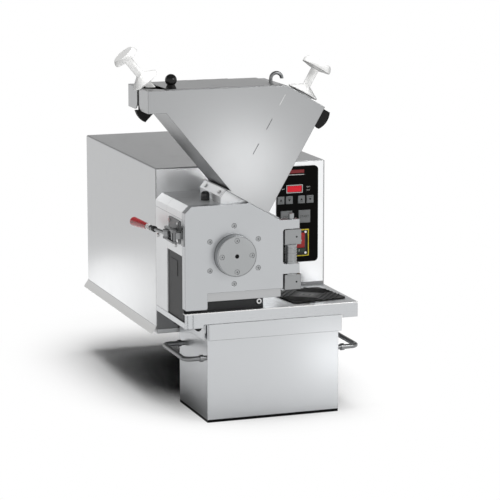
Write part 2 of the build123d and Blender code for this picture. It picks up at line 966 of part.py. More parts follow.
with BuildPart() as door_screws:
    with BuildSketch(across(door_front + door_screw_sink + door_screw_length)):
        with Locations((rotor_x, rotor_z)):
            with PolarLocations(door_screw_circle_radius, door_screw_count, start_angle=30):
                Circle(door_screw_radius)
    extrude(amount=door_screw_length)
    with BuildSketch(across(door_front + door_screw_sink)):
        with Locations((rotor_x, rotor_z)):
            with PolarLocations(door_screw_circle_radius, door_screw_count, start_angle=30):
                RegularPolygon(cap_screw_socket_radius, 6)
    extrude(amount=-cap_screw_socket_radius, mode=Mode.SUBTRACT)
door_screws.part.label = "door_screws"
export_step(door_screws.part, "parts/door_screws.step")

with BuildPart() as door_liner:
    with BuildSketch(across(door_back + liner_thickness)):
        with Locations((rotor_x, rotor_z)):
            Circle(liner_radius)
            Circle(door_bore_radius, mode=Mode.SUBTRACT)
    extrude(amount=liner_thickness)
door_liner.part.label = "door_liner"
export_step(door_liner.part, "parts/door_liner.step")

cap_front = door_front - cap_height
cap_screw_sink = cap_screw_radius + door_screw_sink
with BuildPart() as bearing_cap:
    with BuildSketch(across(door_front)):
        with Locations((rotor_x, rotor_z)):
            Circle(cap_radius)
    extrude(amount=cap_height)
    fillet(bearing_cap.edges().group_by(Axis.Y)[0], radius=cap_edge_radius)
    with BuildSketch(across(door_front + cap_spigot_length)):
        with Locations((rotor_x, rotor_z)):
            Circle(door_bore_radius)
    extrude(amount=cap_spigot_length)
    with BuildSketch(across(cap_front)):
        with Locations((rotor_x, rotor_z)):
            with PolarLocations(cap_screw_circle_radius, cap_screw_count):
                Circle(cap_screw_radius)
    extrude(amount=-cap_screw_sink, mode=Mode.SUBTRACT)
    with BuildSketch(across(cap_front)):
        with Locations((rotor_x, rotor_z)):
            Circle(cap_hole_radius)
    extrude(amount=-cap_height - cap_spigot_length, mode=Mode.SUBTRACT)
bearing_cap.part.label = "bearing_cap"
export_step(bearing_cap.part, "parts/bearing_cap.step")

with BuildPart() as cap_screws:
    with BuildSketch(across(cap_front + cap_screw_sink)):
        with Locations((rotor_x, rotor_z)):
            with PolarLocations(cap_screw_circle_radius, cap_screw_count):
                Circle(cap_screw_radius)
    extrude(amount=cap_screw_radius)
    with BuildSketch(across(cap_front + door_screw_sink)):
        with Locations((rotor_x, rotor_z)):
            with PolarLocations(cap_screw_circle_radius, cap_screw_count):
                RegularPolygon(cap_screw_socket_radius, 6)
    extrude(amount=-cap_screw_socket_radius, mode=Mode.SUBTRACT)
cap_screws.part.label = "cap_screws"
export_step(cap_screws.part, "parts/cap_screws.step")

# --------------------------------------------------------------------------------- door hinge
block_left = left + hinge_block_left
block_right = left + hinge_block_right
block_front = door_front + hinge_block_front_gap
with BuildPart() as hinge_blocks:
    for low, high in (lower_block_z, upper_block_z):
        with BuildSketch(Plane.XY.offset(low)):
            Polygon(
                (block_left, block_front),
                (block_right, block_front),
                (block_right, door_back + hinge_block_back),
                (head_right, door_back + hinge_block_back),
                (head_right, door_back),
                (block_left, door_back),
                align=None,
            )
            with Locations((hinge_x, hinge_y)):
                Circle(hinge_pin_radius, mode=Mode.SUBTRACT)
        extrude(amount=high - low)
        with BuildSketch(across(block_front)):
            with Locations(((hinge_x + block_right) / 2, (low + high) / 2)):
                Circle(set_screw_radius)
        extrude(amount=-set_screw_depth, mode=Mode.SUBTRACT)
hinge_blocks.part.label = "hinge_blocks"
export_step(hinge_blocks.part, "parts/hinge_blocks.step")

with BuildPart() as hinge_pin:
    with BuildSketch(Plane.XY.offset(lower_block_z[0])):
        with Locations((hinge_x, hinge_y)):
            Circle(hinge_pin_radius)
    extrude(amount=hinge_pin_top - lower_block_z[0])
    with BuildSketch(Plane.XY.offset(upper_tongue_z[1] + seat_gap)):
        with Locations((hinge_x, hinge_y)):
            Circle(hinge_cap_radius)
    extrude(amount=hinge_pin_top - upper_tongue_z[1] - seat_gap)
    fillet(hinge_pin.edges().group_by(Axis.Z)[-1], radius=hinge_cap_edge)
hinge_pin.part.label = "hinge_pin"
export_step(hinge_pin.part, "parts/hinge_pin.step")

barrel_bottom = lower_tongue_z[1] + door_seat_gap
barrel_top = upper_block_z[0]
groove_pitch = (barrel_top - barrel_bottom) / (hinge_barrel_grooves + 1)
with BuildPart() as hinge_barrel:
    with BuildSketch(Plane.XY.offset(barrel_bottom)):
        with Locations((hinge_x, hinge_y)):
            Circle(hinge_barrel_radius)
            Circle(hinge_pin_radius, mode=Mode.SUBTRACT)
    extrude(amount=barrel_top - barrel_bottom)
    for groove in range(hinge_barrel_grooves):
        groove_middle = barrel_bottom + groove_pitch * (groove + 1)
        with BuildSketch(Plane.XY.offset(groove_middle - groove_pitch / 4)):
            with Locations((hinge_x, hinge_y)):
                Circle(hinge_barrel_radius + hinge_groove_depth)
                Circle(hinge_barrel_radius - hinge_groove_depth, mode=Mode.SUBTRACT)
        extrude(amount=groove_pitch / 2, mode=Mode.SUBTRACT)
    with BuildSketch(Plane.XY.offset(lower_block_z[1])):
        with Locations((hinge_x, hinge_y)):
            Circle(hinge_barrel_radius)
            Circle(hinge_pin_radius, mode=Mode.SUBTRACT)
    extrude(amount=lower_tongue_z[0] - lower_block_z[1])
hinge_barrel.part.label = "hinge_barrel"
export_step(hinge_barrel.part, "parts/hinge_barrel.step")

# --------------------------------------------------------------------------------- toggle latch
pivot_x = left - latch_pivot_out
pivot_y = chamber_front + latch_pivot_from_front
ear_outer_half = ear_inner_half + ear_thickness
latch_base_y = chamber_front + latch_base_front + latch_base_length / 2
latch_base_z = latch_z + latch_base_lift

with BuildPart() as latch_base:
    with BuildSketch(beside(left)):
        with Locations((latch_base_y, latch_base_z)):
            RectangleRounded(latch_base_length, latch_base_height, ear_radius / 2)
    extrude(amount=-latch_base_thickness)
    for ear_z in (latch_z - ear_outer_half, latch_z + ear_inner_half):
        with BuildSketch(Plane.XY.offset(ear_z)):
            with Locations((pivot_x, pivot_y)):
                Circle(ear_radius)
                Rectangle(latch_pivot_out, 2 * ear_radius, align=(Align.MIN, Align.CENTER))
        extrude(amount=ear_thickness)
    with BuildSketch(Plane.XY.offset(latch_z - ear_outer_half)):
        with Locations((pivot_x, pivot_y)):
            Circle(latch_pin_radius)
    extrude(amount=2 * ear_outer_half)
latch_base.part.label = "latch_base"
export_step(latch_base.part, "parts/latch_base.step")


lever_direction = (cos(radians(lever_angle)), sin(radians(lever_angle)), 0)
lever_plane = Plane(origin=(pivot_x, pivot_y, latch_z), x_dir=lever_direction, z_dir=(0, 0, 1))
lever_axis = Axis((pivot_x, pivot_y, latch_z), lever_direction)
draw_x = pivot_x + draw_pin_radius_at * cos(radians(draw_pin_angle))
draw_y = pivot_y + draw_pin_radius_at * sin(radians(draw_pin_angle))
hub_half = ear_inner_half - latch_gap
leg_inner_half = ear_outer_half + leg_gap
leg_outer_half = leg_inner_half + leg_thickness

with BuildPart() as latch_lever:
    with BuildSketch(Plane.XY.offset(latch_z - hub_half)):
        with BuildLine():
            Line((pivot_x, pivot_y), (draw_x, draw_y))
        trace(line_width=2 * lever_rod_radius)
        with Locations((pivot_x, pivot_y)):
            Circle(lever_hub_radius)
        with Locations((draw_x, draw_y)):
            Circle(lever_rod_radius)
    extrude(amount=2 * hub_half)
    with BuildSketch(lever_plane):
        with Locations((lever_rod_length / 2, lever_rod_radius / 2)):
            Rectangle(lever_rod_length, lever_rod_radius)
    revolve(axis=lever_axis)
    with BuildSketch(Plane.XY.offset(latch_z - ear_inner_half)):
        with Locations((pivot_x, pivot_y)):
            Circle(latch_pin_radius + running_clearance)
    extrude(amount=2 * ear_inner_half, mode=Mode.SUBTRACT)
    with BuildSketch(Plane.XY.offset(latch_z - leg_outer_half)):
        with Locations((draw_x, draw_y)):
            Circle(latch_pin_radius)
    extrude(amount=2 * leg_outer_half)
latch_lever.part.label = "latch_lever"
export_step(latch_lever.part, "parts/latch_lever.step")

with BuildPart() as latch_grip:
    with BuildSketch(lever_plane):
        Polygon(
            (grip_start, 0),
            (grip_start, grip_small_radius),
            (grip_start + grip_length, grip_large_radius),
            (grip_start + grip_length, 0),
            align=None,
        )
    revolve(axis=lever_axis)
    fillet(latch_grip.edges().sort_by(Axis.Y)[-1], radius=grip_end_radius)
    fillet(latch_grip.edges().sort_by(Axis.Y)[0], radius=grip_end_radius / 3)
    with BuildSketch(lever_plane):
        with Locations((lever_rod_length / 2, lever_rod_radius / 2)):
            Rectangle(lever_rod_length, lever_rod_radius)
    revolve(axis=lever_axis, mode=Mode.SUBTRACT)
latch_grip.part.label = "latch_grip"
export_step(latch_grip.part, "parts/latch_grip.step")

lip_front_y = door_front + keeper_lip_front
crossbar_x = left - crossbar_out
crossbar_y = lip_front_y - crossbar_gap - crossbar_radius

with BuildPart() as latch_hook:
    for leg_z in (latch_z - leg_outer_half, latch_z + leg_inner_half):
        with BuildSketch(Plane.XY.offset(leg_z)):
            with BuildLine():
                Line((draw_x, draw_y), (crossbar_x, crossbar_y))
            trace(line_width=leg_width)
            with Locations((draw_x, draw_y), (crossbar_x, crossbar_y)):
                Circle(leg_width / 2)
            with Locations((draw_x, draw_y)):
                Circle(latch_pin_radius + running_clearance, mode=Mode.SUBTRACT)
        extrude(amount=leg_thickness)
    with BuildSketch(Plane.XY.offset(latch_z - leg_inner_half)):
        with Locations((crossbar_x, crossbar_y)):
            Circle(crossbar_radius)
    extrude(amount=2 * leg_inner_half)
latch_hook.part.label = "latch_hook"
export_step(latch_hook.part, "parts/latch_hook.step")

keeper_plate_y = lip_front_y + keeper_lip_thickness - keeper_plate_length
with BuildPart() as latch_keeper:
    with BuildSketch(Plane.XY.offset(latch_z - keeper_height / 2)):
        with Locations((door_left, keeper_plate_y)):
            Rectangle(keeper_plate_thickness, keeper_plate_length, align=(Align.MAX, Align.MIN))
    extrude(amount=keeper_height)
    with BuildSketch(Plane.XY.offset(latch_z - keeper_lip_height / 2)):
        with Locations((door_left, lip_front_y)):
            Rectangle(keeper_lip_out, keeper_lip_thickness, align=(Align.MAX, Align.MIN))
    extrude(amount=keeper_lip_height)
latch_keeper.part.label = "latch_keeper"
export_step(latch_keeper.part, "parts/latch_keeper.step")

# --------------------------------------------------------------------------------- hopper
seat_vector = Vector(*seat_normal)
mouth_vector = Vector(cos(radians(seat_angle)), 0, -sin(radians(seat_angle)))
ear_bottom = hopper_top - ear_height
corner_a = Vector(left - hopper_left_out, hopper_mid, hopper_top)
corner_b = Vector(left + hopper_deck_right, hopper_mid, hopper_top)
corner_c = corner_b + mouth_vector * mouth_length
seat_foot = Vector(seat_foot_x, hopper_mid, seat_foot_z)
corner_d = corner_c - seat_vector * (corner_c - seat_foot).dot(seat_vector)
wall_foot_reach = corner_a.X + (hopper_top - seat_foot_z - seat_foot_x * seat_rise) * wall_run
corner_e_x = wall_foot_reach / (1 - seat_rise * wall_run)
corner_e = Vector(corner_e_x, hopper_mid, seat_z(corner_e_x))
hopper_wall_vector = Vector(sin(radians(hopper_wall_angle)), 0, -cos(radians(hopper_wall_angle)))
ear_corner = corner_a + hopper_wall_vector * (ear_height / cos(radians(hopper_wall_angle)))
hopper_inside = hopper_depth - 2 * hopper_sheet
lid_left = corner_a.X + lid_left_inset
lid_right = corner_b.X - lid_right_inset
knuckle_y = hopper_rear + lid_knuckle_radius + lid_knuckle_gap
knuckle_z = hopper_top + lid_thickness - lid_knuckle_radius
knuckle_middle = (lid_left + lid_right) / 2
flange_length = (seat_foot_x - seat_top_x) / cos(radians(seat_angle)) - flange_foot_gap
mouth_plane = Plane(origin=corner_b, x_dir=mouth_vector, z_dir=seat_vector)
right_rod_place = mouth_length - right_axis_from_corner


def knuckle_places(remainder):
    """Left ends of every second hinge knuckle."""
    first = knuckle_middle - lid_knuckle_count * lid_knuckle_pitch / 2
    return [first + n * lid_knuckle_pitch for n in range(lid_knuckle_count) if n % 2 == remainder]


def funnel_outline():
    """Outside of the funnel, without the ear."""
    Polygon(*[(c.X, c.Z) for c in (corner_a, corner_b, corner_c, corner_d, corner_e)], align=None)


with BuildPart() as hopper_shell:
    with BuildSketch(across(hopper_rear)):
        funnel_outline()
        Polygon(
            (corner_a.X, corner_a.Z),
            (ear_corner.X, ear_corner.Z),
            (corner_a.X, ear_bottom),
            align=None,
        )
    extrude(amount=hopper_depth)
    with BuildSketch(across(hopper_rear - hopper_sheet)):
        funnel_outline()
        offset(amount=-hopper_sheet, kind=Kind.INTERSECTION)
    extrude(amount=hopper_inside, mode=Mode.SUBTRACT)
    with BuildSketch(across(hopper_rear - hopper_sheet)):
        ear_inner_x = corner_a.X + hopper_sheet
        Polygon(
            (ear_inner_x, corner_a.Z - hopper_sheet / wall_run),
            (ear_corner.X, ear_corner.Z),
            (ear_inner_x, ear_bottom),
            align=None,
        )
    extrude(amount=hopper_inside, mode=Mode.SUBTRACT)
    with BuildSketch(beside(corner_a.X)):
        with Locations((hopper_mid, hopper_top)):
            Rectangle(ear_slot, ear_height, align=(Align.CENTER, Align.MAX))
    extrude(amount=hopper_sheet, mode=Mode.SUBTRACT)
    tab_corners = [
        e
        for e in hopper_shell.edges().filter_by(Axis.X)
        if abs(e.center().Z - ear_bottom) < 1 and abs(abs(e.center().Y - hopper_mid) - ear_slot / 2) < 1
    ]
    fillet(tab_corners, radius=ear_tab_radius)
    with BuildSketch(Plane.XY.offset(hopper_top)):
        with Locations(((lid_left + lid_right) / 2, hopper_mid)):
            Rectangle(lid_right - lid_left - 2 * lid_lap, hopper_depth - 2 * lid_lap)
        with Locations((corner_a.X + port_left_gap, hopper_mid)):
            Rectangle(port_length, port_width, align=(Align.MIN, Align.CENTER))
    extrude(amount=-hopper_sheet, mode=Mode.SUBTRACT)
    with BuildSketch(seat_plane):
        with Locations((flange_foot_gap, throat_front - hopper_front)):
            Rectangle(flange_length, hopper_depth, align=(Align.MIN, Align.MAX))
    extrude(amount=hopper_flange)
    with BuildSketch(seat_plane):
        with Locations((throat_right + throat_length / 2, -throat_width / 2)):
            Rectangle(throat_length, throat_width)
    extrude(amount=2 * hopper_flange, mode=Mode.SUBTRACT)
    with BuildSketch(mouth_plane):
        with Locations((right_rod_place, 0)):
            Circle(plunger_collar_radius)
    extrude(amount=plunger_collar_height)
    with BuildSketch(mouth_plane.offset(plunger_collar_height)):
        with Locations((right_rod_place, 0)):
            Circle(plunger_rod_radius + plunger_hole_gap)
    extrude(amount=-plunger_collar_height - hopper_sheet, mode=Mode.SUBTRACT)
    for knuckle_left in knuckle_places(0):
        with BuildSketch(beside(knuckle_left)):
            with Locations((knuckle_y, knuckle_z)):
                Circle(lid_knuckle_radius)
                Rectangle(knuckle_y - hopper_rear, lid_knuckle_radius, align=(Align.MAX, Align.MAX))
                Circle(lid_pin_radius, mode=Mode.SUBTRACT)
        extrude(amount=lid_knuckle_length)
hopper_shell.part.label = "hopper_shell"
export_step(hopper_shell.part, "parts/hopper_shell.step")

partition_top = corner_b - Vector(0, 0, partition_from_deck)
partition_foot = partition_top - seat_vector * partition_length
with BuildPart() as hopper_partition:
    with BuildSketch(across(hopper_rear - hopper_sheet)):
        with BuildLine():
            Line((partition_top.X, partition_top.Z), (partition_foot.X, partition_foot.Z))
        trace(line_width=hopper_sheet)
    extrude(amount=hopper_inside)
hopper_partition.part.label = "hopper_partition"
export_step(hopper_partition.part, "parts/hopper_partition.step")

wedge_low = Vector(wedge_left, 0, chamber_top + wedge_step)
wedge_high = Vector(seat_top_x, 0, seat_top_z)
wedge_face = (wedge_high - wedge_low).normalized()
wedge_outward = Vector(-wedge_face.Z, 0, wedge_face.X)
wedge_plane = Plane(origin=wedge_low + Vector(0, hopper_front, 0), x_dir=wedge_face, z_dir=wedge_outward)
wedge_face_length = (wedge_high - wedge_low).length
with BuildPart() as hopper_bracket:
    with BuildSketch(wedge_plane):
        with Locations((0, chamber_front - hopper_front)):
            Rectangle(wedge_face_length, hopper_rear - chamber_front, align=(Align.MIN, Align.MIN))
    extrude(amount=bracket_thickness)
hopper_bracket.part.label = "hopper_bracket"
export_step(hopper_bracket.part, "parts/hopper_bracket.step")


with BuildPart() as hopper_lid:
    with BuildSketch(Plane.XY.offset(hopper_top)):
        with Locations((lid_left, hopper_front)):
            Rectangle(lid_right - lid_left, hopper_depth, align=(Align.MIN, Align.MIN))
    extrude(amount=lid_thickness)
    for knuckle_left in knuckle_places(1):
        with BuildSketch(beside(knuckle_left)):
            with Locations((knuckle_y, knuckle_z)):
                Circle(lid_knuckle_radius)
            with Locations((knuckle_y, hopper_top)):
                Rectangle(knuckle_y - hopper_rear, lid_thickness, align=(Align.MAX, Align.MIN))
            with Locations((knuckle_y, knuckle_z)):
                Circle(lid_pin_radius + running_clearance, mode=Mode.SUBTRACT)
        extrude(amount=lid_knuckle_length)
hopper_lid.part.label = "hopper_lid"
export_step(hopper_lid.part, "parts/hopper_lid.step")

pin_left = knuckle_places(0)[0]
with BuildPart() as lid_hinge_pin:
    with BuildSketch(beside(pin_left)):
        with Locations((knuckle_y, knuckle_z)):
            Circle(lid_pin_radius)
    extrude(amount=lid_knuckle_count * lid_knuckle_pitch)
lid_hinge_pin.part.label = "lid_hinge_pin"
export_step(lid_hinge_pin.part, "parts/lid_hinge_pin.step")

lid_face = hopper_top + lid_thickness
knob_x = lid_left + knob_inset
knob_y = hopper_front + knob_from_front
with BuildPart() as lid_knob:
    with BuildSketch(Plane.XZ.offset(-knob_y)):
        with Locations((knob_x, lid_face + knob_centre_height)):
            Circle(knob_radius)
        Polygon(
            (knob_x, lid_face),
            (knob_x + knob_base_radius, lid_face),
            (knob_x + knob_neck_radius, lid_face + knob_centre_height / 2),
            (knob_x, lid_face + knob_centre_height / 2),
            align=None,
        )
        with Locations((knob_x, lid_face + knob_centre_height)):
            Rectangle(2 * knob_radius, 4 * knob_radius, align=(Align.MAX, Align.CENTER), mode=Mode.SUBTRACT)
    revolve(axis=Axis((knob_x, knob_y, 0), (0, 0, 1)))
lid_knob.part.label = "lid_knob"
export_step(lid_knob.part, "parts/lid_knob.step")

hook_x = corner_b.X - hook_from_right
with BuildPart() as hopper_hook:
    with BuildLine(across(hopper_mid)) as hook_path:
        Line((hook_x, hopper_top), (hook_x, hopper_top + hook_rise))
        CenterArc((hook_x + hook_arc_radius, hopper_top + hook_rise), hook_arc_radius, 180, -180)
    with BuildSketch(Plane.XY.offset(hopper_top)):
        with Locations((hook_x, hopper_mid)):
            Circle(hook_wire_radius)
    sweep(path=hook_path.line)
hopper_hook.part.label = "hopper_hook"
export_step(hopper_hook.part, "parts/hopper_hook.step")

reach = 4 * bumper_radius


def cut_beyond(x, z, angle):
    """Remove what lies beyond the line through (x, z); the angle points to the removed side."""
    with Locations(Location((x, z, 0), (0, 0, angle))):
        Rectangle(reach, 2 * reach, align=(Align.MIN, Align.CENTER), mode=Mode.SUBTRACT)


right_bumper_centre = corner_c - seat_vector * right_bumper_drop + mouth_vector * right_bumper_out
right_bumper_foot = corner_c - seat_vector * right_bumper_cut
with BuildPart() as side_bumpers:
    with BuildSketch(across(hopper_mid + bumper_thickness / 2)):
        with Locations((corner_a.X + left_bumper_inset, corner_a.Z - left_bumper_drop)):
            Circle(bumper_radius)
        cut_beyond(ear_corner.X, ear_corner.Z, 90 - hopper_wall_angle)
        cut_beyond(ear_corner.X, ear_corner.Z, -bumper_cut_angle)
        with Locations((corner_a.X + hopper_sheet, ear_bottom)):
            Rectangle(reach, reach, align=(Align.MAX, Align.MIN), mode=Mode.SUBTRACT)
    extrude(amount=bumper_thickness)
    with BuildSketch(across(hopper_mid + bumper_thickness / 2)) as right_bumper:
        with Locations((right_bumper_centre.X, right_bumper_centre.Z)):
            Circle(bumper_radius)
        cut_beyond(corner_c.X, corner_c.Z, 90 - seat_angle)
        cut_beyond(corner_c.X, corner_c.Z, 180 - seat_angle)
        cut_beyond(right_bumper_foot.X, right_bumper_foot.Z, 180 + bumper_cut_angle)
    extrude(amount=bumper_thickness)
side_bumpers.part.label = "side_bumpers"
export_step(side_bumpers.part, "parts/side_bumpers.step")


# --------------------------------------------------------------------------------- plungers
def plunger(rim_centre, radial, axis, rim_radius, stem_length, cap_radius, cap_height):
    """White plastic pusher: rod below the rim, cone, stem and mushroom cap above it."""
    stem_top = plunger_cone_height + stem_length
    with BuildPart() as pusher:
        with BuildSketch(Plane(origin=rim_centre, x_dir=radial, z_dir=(0, -1, 0))):
            with BuildLine():
                Line((0, -plunger_rod_length), (plunger_rod_radius, -plunger_rod_length))
                Line((plunger_rod_radius, -plunger_rod_length), (plunger_rod_radius, 0))
                Line((plunger_rod_radius, 0), (rim_radius, 0))
                Line((rim_radius, 0), (rim_radius, plunger_cone_lip))
                Line((rim_radius, plunger_cone_lip), (plunger_rod_radius, plunger_cone_height))
                Line((plunger_rod_radius, plunger_cone_height), (plunger_rod_radius, stem_top))
                Line((plunger_rod_radius, stem_top), (cap_radius, stem_top + cap_height / 4))
                ThreePointArc(
                    (cap_radius, stem_top + cap_height / 4),
                    (cap_radius - plunger_cap_edge / 3, stem_top + 3 * cap_height / 4),
                    (cap_radius - plunger_cap_edge, stem_top + cap_height),
                )
                Line((cap_radius - plunger_cap_edge, stem_top + cap_height), (0, stem_top + cap_height))
                Line((0, stem_top + cap_height), (0, -plunger_rod_length))
            make_face()
        revolve(axis=Axis(rim_centre, axis))
    return pusher.part


left_axis = Vector(-sin(radians(hopper_wall_angle)), 0, cos(radians(hopper_wall_angle)))
left_radial = Vector(cos(radians(hopper_wall_angle)), 0, sin(radians(hopper_wall_angle)))
left_rim_centre = corner_a + left_radial * left_axis_from_corner + left_axis * seat_gap
left_plunger = plunger(
    left_rim_centre,
    left_radial,
    left_axis,
    left_rim_radius,
    left_stem_length,
    left_cap_radius,
    left_cap_height,
)
left_plunger.label = "left_plunger"
export_step(left_plunger, "parts/left_plunger.step")

right_rim_centre = (
    corner_b + mouth_vector * right_rod_place + seat_vector * (plunger_collar_height + seat_gap)
)
right_plunger = plunger(
    right_rim_centre,
    mouth_vector,
    seat_vector,
    right_rim_radius,
    right_stem_length,
    right_cap_radius,
    right_cap_height,
)
right_plunger.label = "right_plunger"
export_step(right_plunger, "parts/right_plunger.step")

# --------------------------------------------------------------------------------- table and mat
table_cut_right = head_right + table_cut_gap
with BuildPart() as table_plate:
    with BuildSketch(Plane.XY.offset(table_top)):
        with Locations((left, table_front)):
            Rectangle(housing_width, front - table_front, align=(Align.MIN, Align.MIN))
        Polygon(
            (left, table_front + table_front_strip),
            (spout_right + table_cut_gap, table_front + table_front_strip),
            (spout_right + table_cut_gap, carrier_front - table_cut_gap),
            (table_cut_right, carrier_front - table_cut_gap),
            (table_cut_right, front),
            (left, front),
            align=None,
            mode=Mode.SUBTRACT,
        )
    extrude(amount=-sheet)
    with BuildSketch(across(table_front + sheet)):
        with Locations((left, table_top)):
            Rectangle(housing_width, table_top - skirt_bottom, align=(Align.MIN, Align.MAX))
        with Locations((left + notch_left_inset, notch_top)):
            notch_width = housing_width - notch_left_inset - notch_right_inset
            Rectangle(notch_width, table_top, align=(Align.MIN, Align.MAX), mode=Mode.SUBTRACT)
    extrude(amount=sheet)
    with BuildSketch(beside(right)):
        with Locations((table_front, table_top)):
            Rectangle(front - table_front, table_top - skirt_bottom, align=(Align.MIN, Align.MAX))
    extrude(amount=-sheet)
    with BuildSketch(beside(left)):
        with Locations((table_front, left_strip_bottom)):
            Rectangle(front - table_front, left_strip_top - left_strip_bottom, align=(Align.MIN, Align.MIN))
    extrude(amount=sheet)
    with BuildSketch(across(front)):
        with Locations((right, table_top)):
            Rectangle(right - table_cut_right, table_top - skirt_bottom, align=(Align.MAX, Align.MAX))
    extrude(amount=sheet)
    with BuildSketch(across(table_front)):
        for bend_inset in skirt_bend_insets:
            with Locations((left + bend_inset, table_top - 2 * sheet)):
                Rectangle(skirt_bend_width, table_top, align=(Align.CENTER, Align.MAX))
    extrude(amount=-skirt_bend_depth, mode=Mode.SUBTRACT)
table_plate.part.label = "table_plate"
export_step(table_plate.part, "parts/table_plate.step")

with BuildPart() as table_fittings:
    with BuildSketch(across(table_front + sheet + stop_thickness)):
        with Locations((left + stop_inset, skirt_bottom)):
            Circle(stop_radius)
    extrude(amount=stop_thickness)
    with BuildSketch(Plane.XY.offset(left_strip_bottom)):
        with Locations((left + strip_screw_radius, carrier_front - strip_screw_from_carrier)):
            Circle(strip_screw_radius)
    extrude(amount=-strip_screw_length)
table_fittings.part.label = "table_fittings"
export_step(table_fittings.part, "parts/table_fittings.step")

mat_x = (head_right + right) / 2 + mat_offset_right
mat_y = front - mat_centre_from_front
mat_side = right - head_right - 2 * mat_side_gap
with BuildPart() as bench_mat:
    with BuildSketch(Plane.XY.offset(table_top)):
        with Locations(Location((mat_x, mat_y, 0), (0, 0, mat_turn))):
            RectangleRounded(mat_side, mat_side, mat_corner)
    extrude(amount=mat_base)
    with BuildSketch(Plane.XY.offset(table_top + mat_base)):
        with Locations(Location((mat_x, mat_y, 0), (0, 0, mat_turn + mat_rib_turn))):
            for rib in range(mat_rib_count):
                half_side = mat_side / 2 + mat_rib_width - rib * mat_rib_pitch
                Rectangle(2 * half_side, 2 * half_side)
                inner_side = 2 * (half_side - mat_rib_width)
                Rectangle(inner_side, inner_side, mode=Mode.SUBTRACT)
        with Locations(Location((mat_x, mat_y, 0), (0, 0, mat_turn))):
            RectangleRounded(mat_side, mat_side, mat_corner, mode=Mode.INTERSECT)
    extrude(amount=mat_rib)
bench_mat.part.label = "bench_mat"
export_step(bench_mat.part, "parts/bench_mat.step")

# --------------------------------------------------------------------------------- collecting vessel
rim_left = vessel_left - rim_out
rim_right = vessel_right + rim_out
vessel_height = rim_top - vessel_bottom
with BuildPart() as vessel_body:
    with BuildSketch(Plane.XY.offset(vessel_bottom)):
        with Locations((vessel_left, vessel_front)):
            Rectangle(vessel_width, vessel_depth, align=(Align.MIN, Align.MIN))
    extrude(amount=vessel_height)
    with BuildSketch(Plane.XY.offset(vessel_bottom + vessel_sheet)):
        with Locations((vessel_left + vessel_sheet, vessel_front + vessel_sheet)):
            Rectangle(
                vessel_width - 2 * vessel_sheet, vessel_depth - 2 * vessel_sheet, align=(Align.MIN, Align.MIN)
            )
    extrude(amount=vessel_height, mode=Mode.SUBTRACT)
    with BuildSketch(across(vessel_rear)):
        for outer_x, side in ((rim_left, Align.MIN), (rim_right, Align.MAX)):
            with Locations((outer_x, rim_top)):
                Rectangle(rim_out, rim_sheet, align=(side, Align.MAX))
                Rectangle(rim_sheet, rim_height, align=(side, Align.MAX))
    extrude(amount=vessel_depth)
    with BuildSketch(across(vessel_front)):
        with Locations((rim_right, rim_top)):
            Rectangle(rim_right - left - band_left_inset, rim_height, align=(Align.MAX, Align.MAX))
    extrude(amount=band_thickness)
vessel_body.part.label = "vessel_body"
export_step(vessel_body.part, "parts/vessel_body.step")

rail_top = rim_top - rim_sheet
rail_front = vessel_front + rail_front_gap
rail_back = front - rail_foot_thickness
rail_gap = (rim_out - rim_sheet - rail_thickness) / 2
with BuildPart() as vessel_rails:
    for rail_x in (
        vessel_left - rail_gap - rail_thickness / 2,
        vessel_right + rail_gap + rail_thickness / 2,
    ):
        with BuildSketch(across(rail_back)):
            with Locations((rail_x, rail_top)):
                Rectangle(rail_thickness, rail_height, align=(Align.CENTER, Align.MAX))
        extrude(amount=rail_back - rail_front)
        with BuildSketch(across(front)):
            with Locations((rail_x, skirt_bottom)):
                Rectangle(rail_foot_width, rail_foot_height, align=(Align.CENTER, Align.MAX))
        extrude(amount=rail_foot_thickness)
vessel_rails.part.label = "vessel_rails"
export_step(vessel_rails.part, "parts/vessel_rails.step")

handle_front_y = vessel_front + handle_front
handle_back_y = handle_front_y + handle_length
with BuildPart() as vessel_handles:
    for wall_x, outward in ((vessel_left, -1), (vessel_right, 1)):
        bar_x = wall_x + outward * handle_out
        with BuildLine(Plane.XY.offset(handle_z)) as handle_path:
            FilletPolyline(
                (wall_x, handle_front_y),
                (bar_x, handle_front_y),
                (bar_x, handle_back_y),
                (wall_x, handle_back_y),
                radius=handle_bend,
            )
        with BuildSketch(Plane(origin=(wall_x, handle_front_y, handle_z), z_dir=(outward, 0, 0))):
            Circle(handle_radius)
        sweep(path=handle_path.line)
        for leg_y in (handle_front_y, handle_back_y):
            collar_x = wall_x + outward * handle_collar_from_wall
            with BuildSketch(Plane(origin=(collar_x, leg_y, handle_z), z_dir=(outward, 0, 0))):
                Circle(handle_collar_radius)
            extrude(amount=handle_collar_length)
vessel_handles.part.label = "vessel_handles"
export_step(vessel_handles.part, "parts/vessel_handles.step")

# --------------------------------------------------------------------------------- fasteners
rear_screw_height = housing_height - base_thickness - 2 * rear_screw_inset
with BuildPart() as pan_screws:
    with BuildSketch(across(rear + screw_head_height)):
        with Locations((0, (housing_height + base_thickness) / 2)):
            with GridLocations(inner_width - 2 * rear_screw_inset, rear_screw_height / 2, 2, 3):
                Circle(screw_head_radius)
    extrude(amount=screw_head_height)
    with BuildSketch(beside(left - latch_base_thickness)):
        with Locations((latch_base_y, latch_base_z)):
            with GridLocations(latch_screw_spacing_y, latch_screw_spacing_z, 2, 2):
                Circle(screw_head_radius)
    extrude(amount=-screw_head_height)
    with BuildSketch(across(switch_face)):
        with Locations(switch_centre):
            with GridLocations(switch_screw_spacing_x, switch_screw_spacing_z, 2, 2):
                Circle(switch_screw_radius)
    extrude(amount=switch_screw_height)
pan_screws.part.label = "pan_screws"
export_step(pan_screws.part, "parts/pan_screws.step")

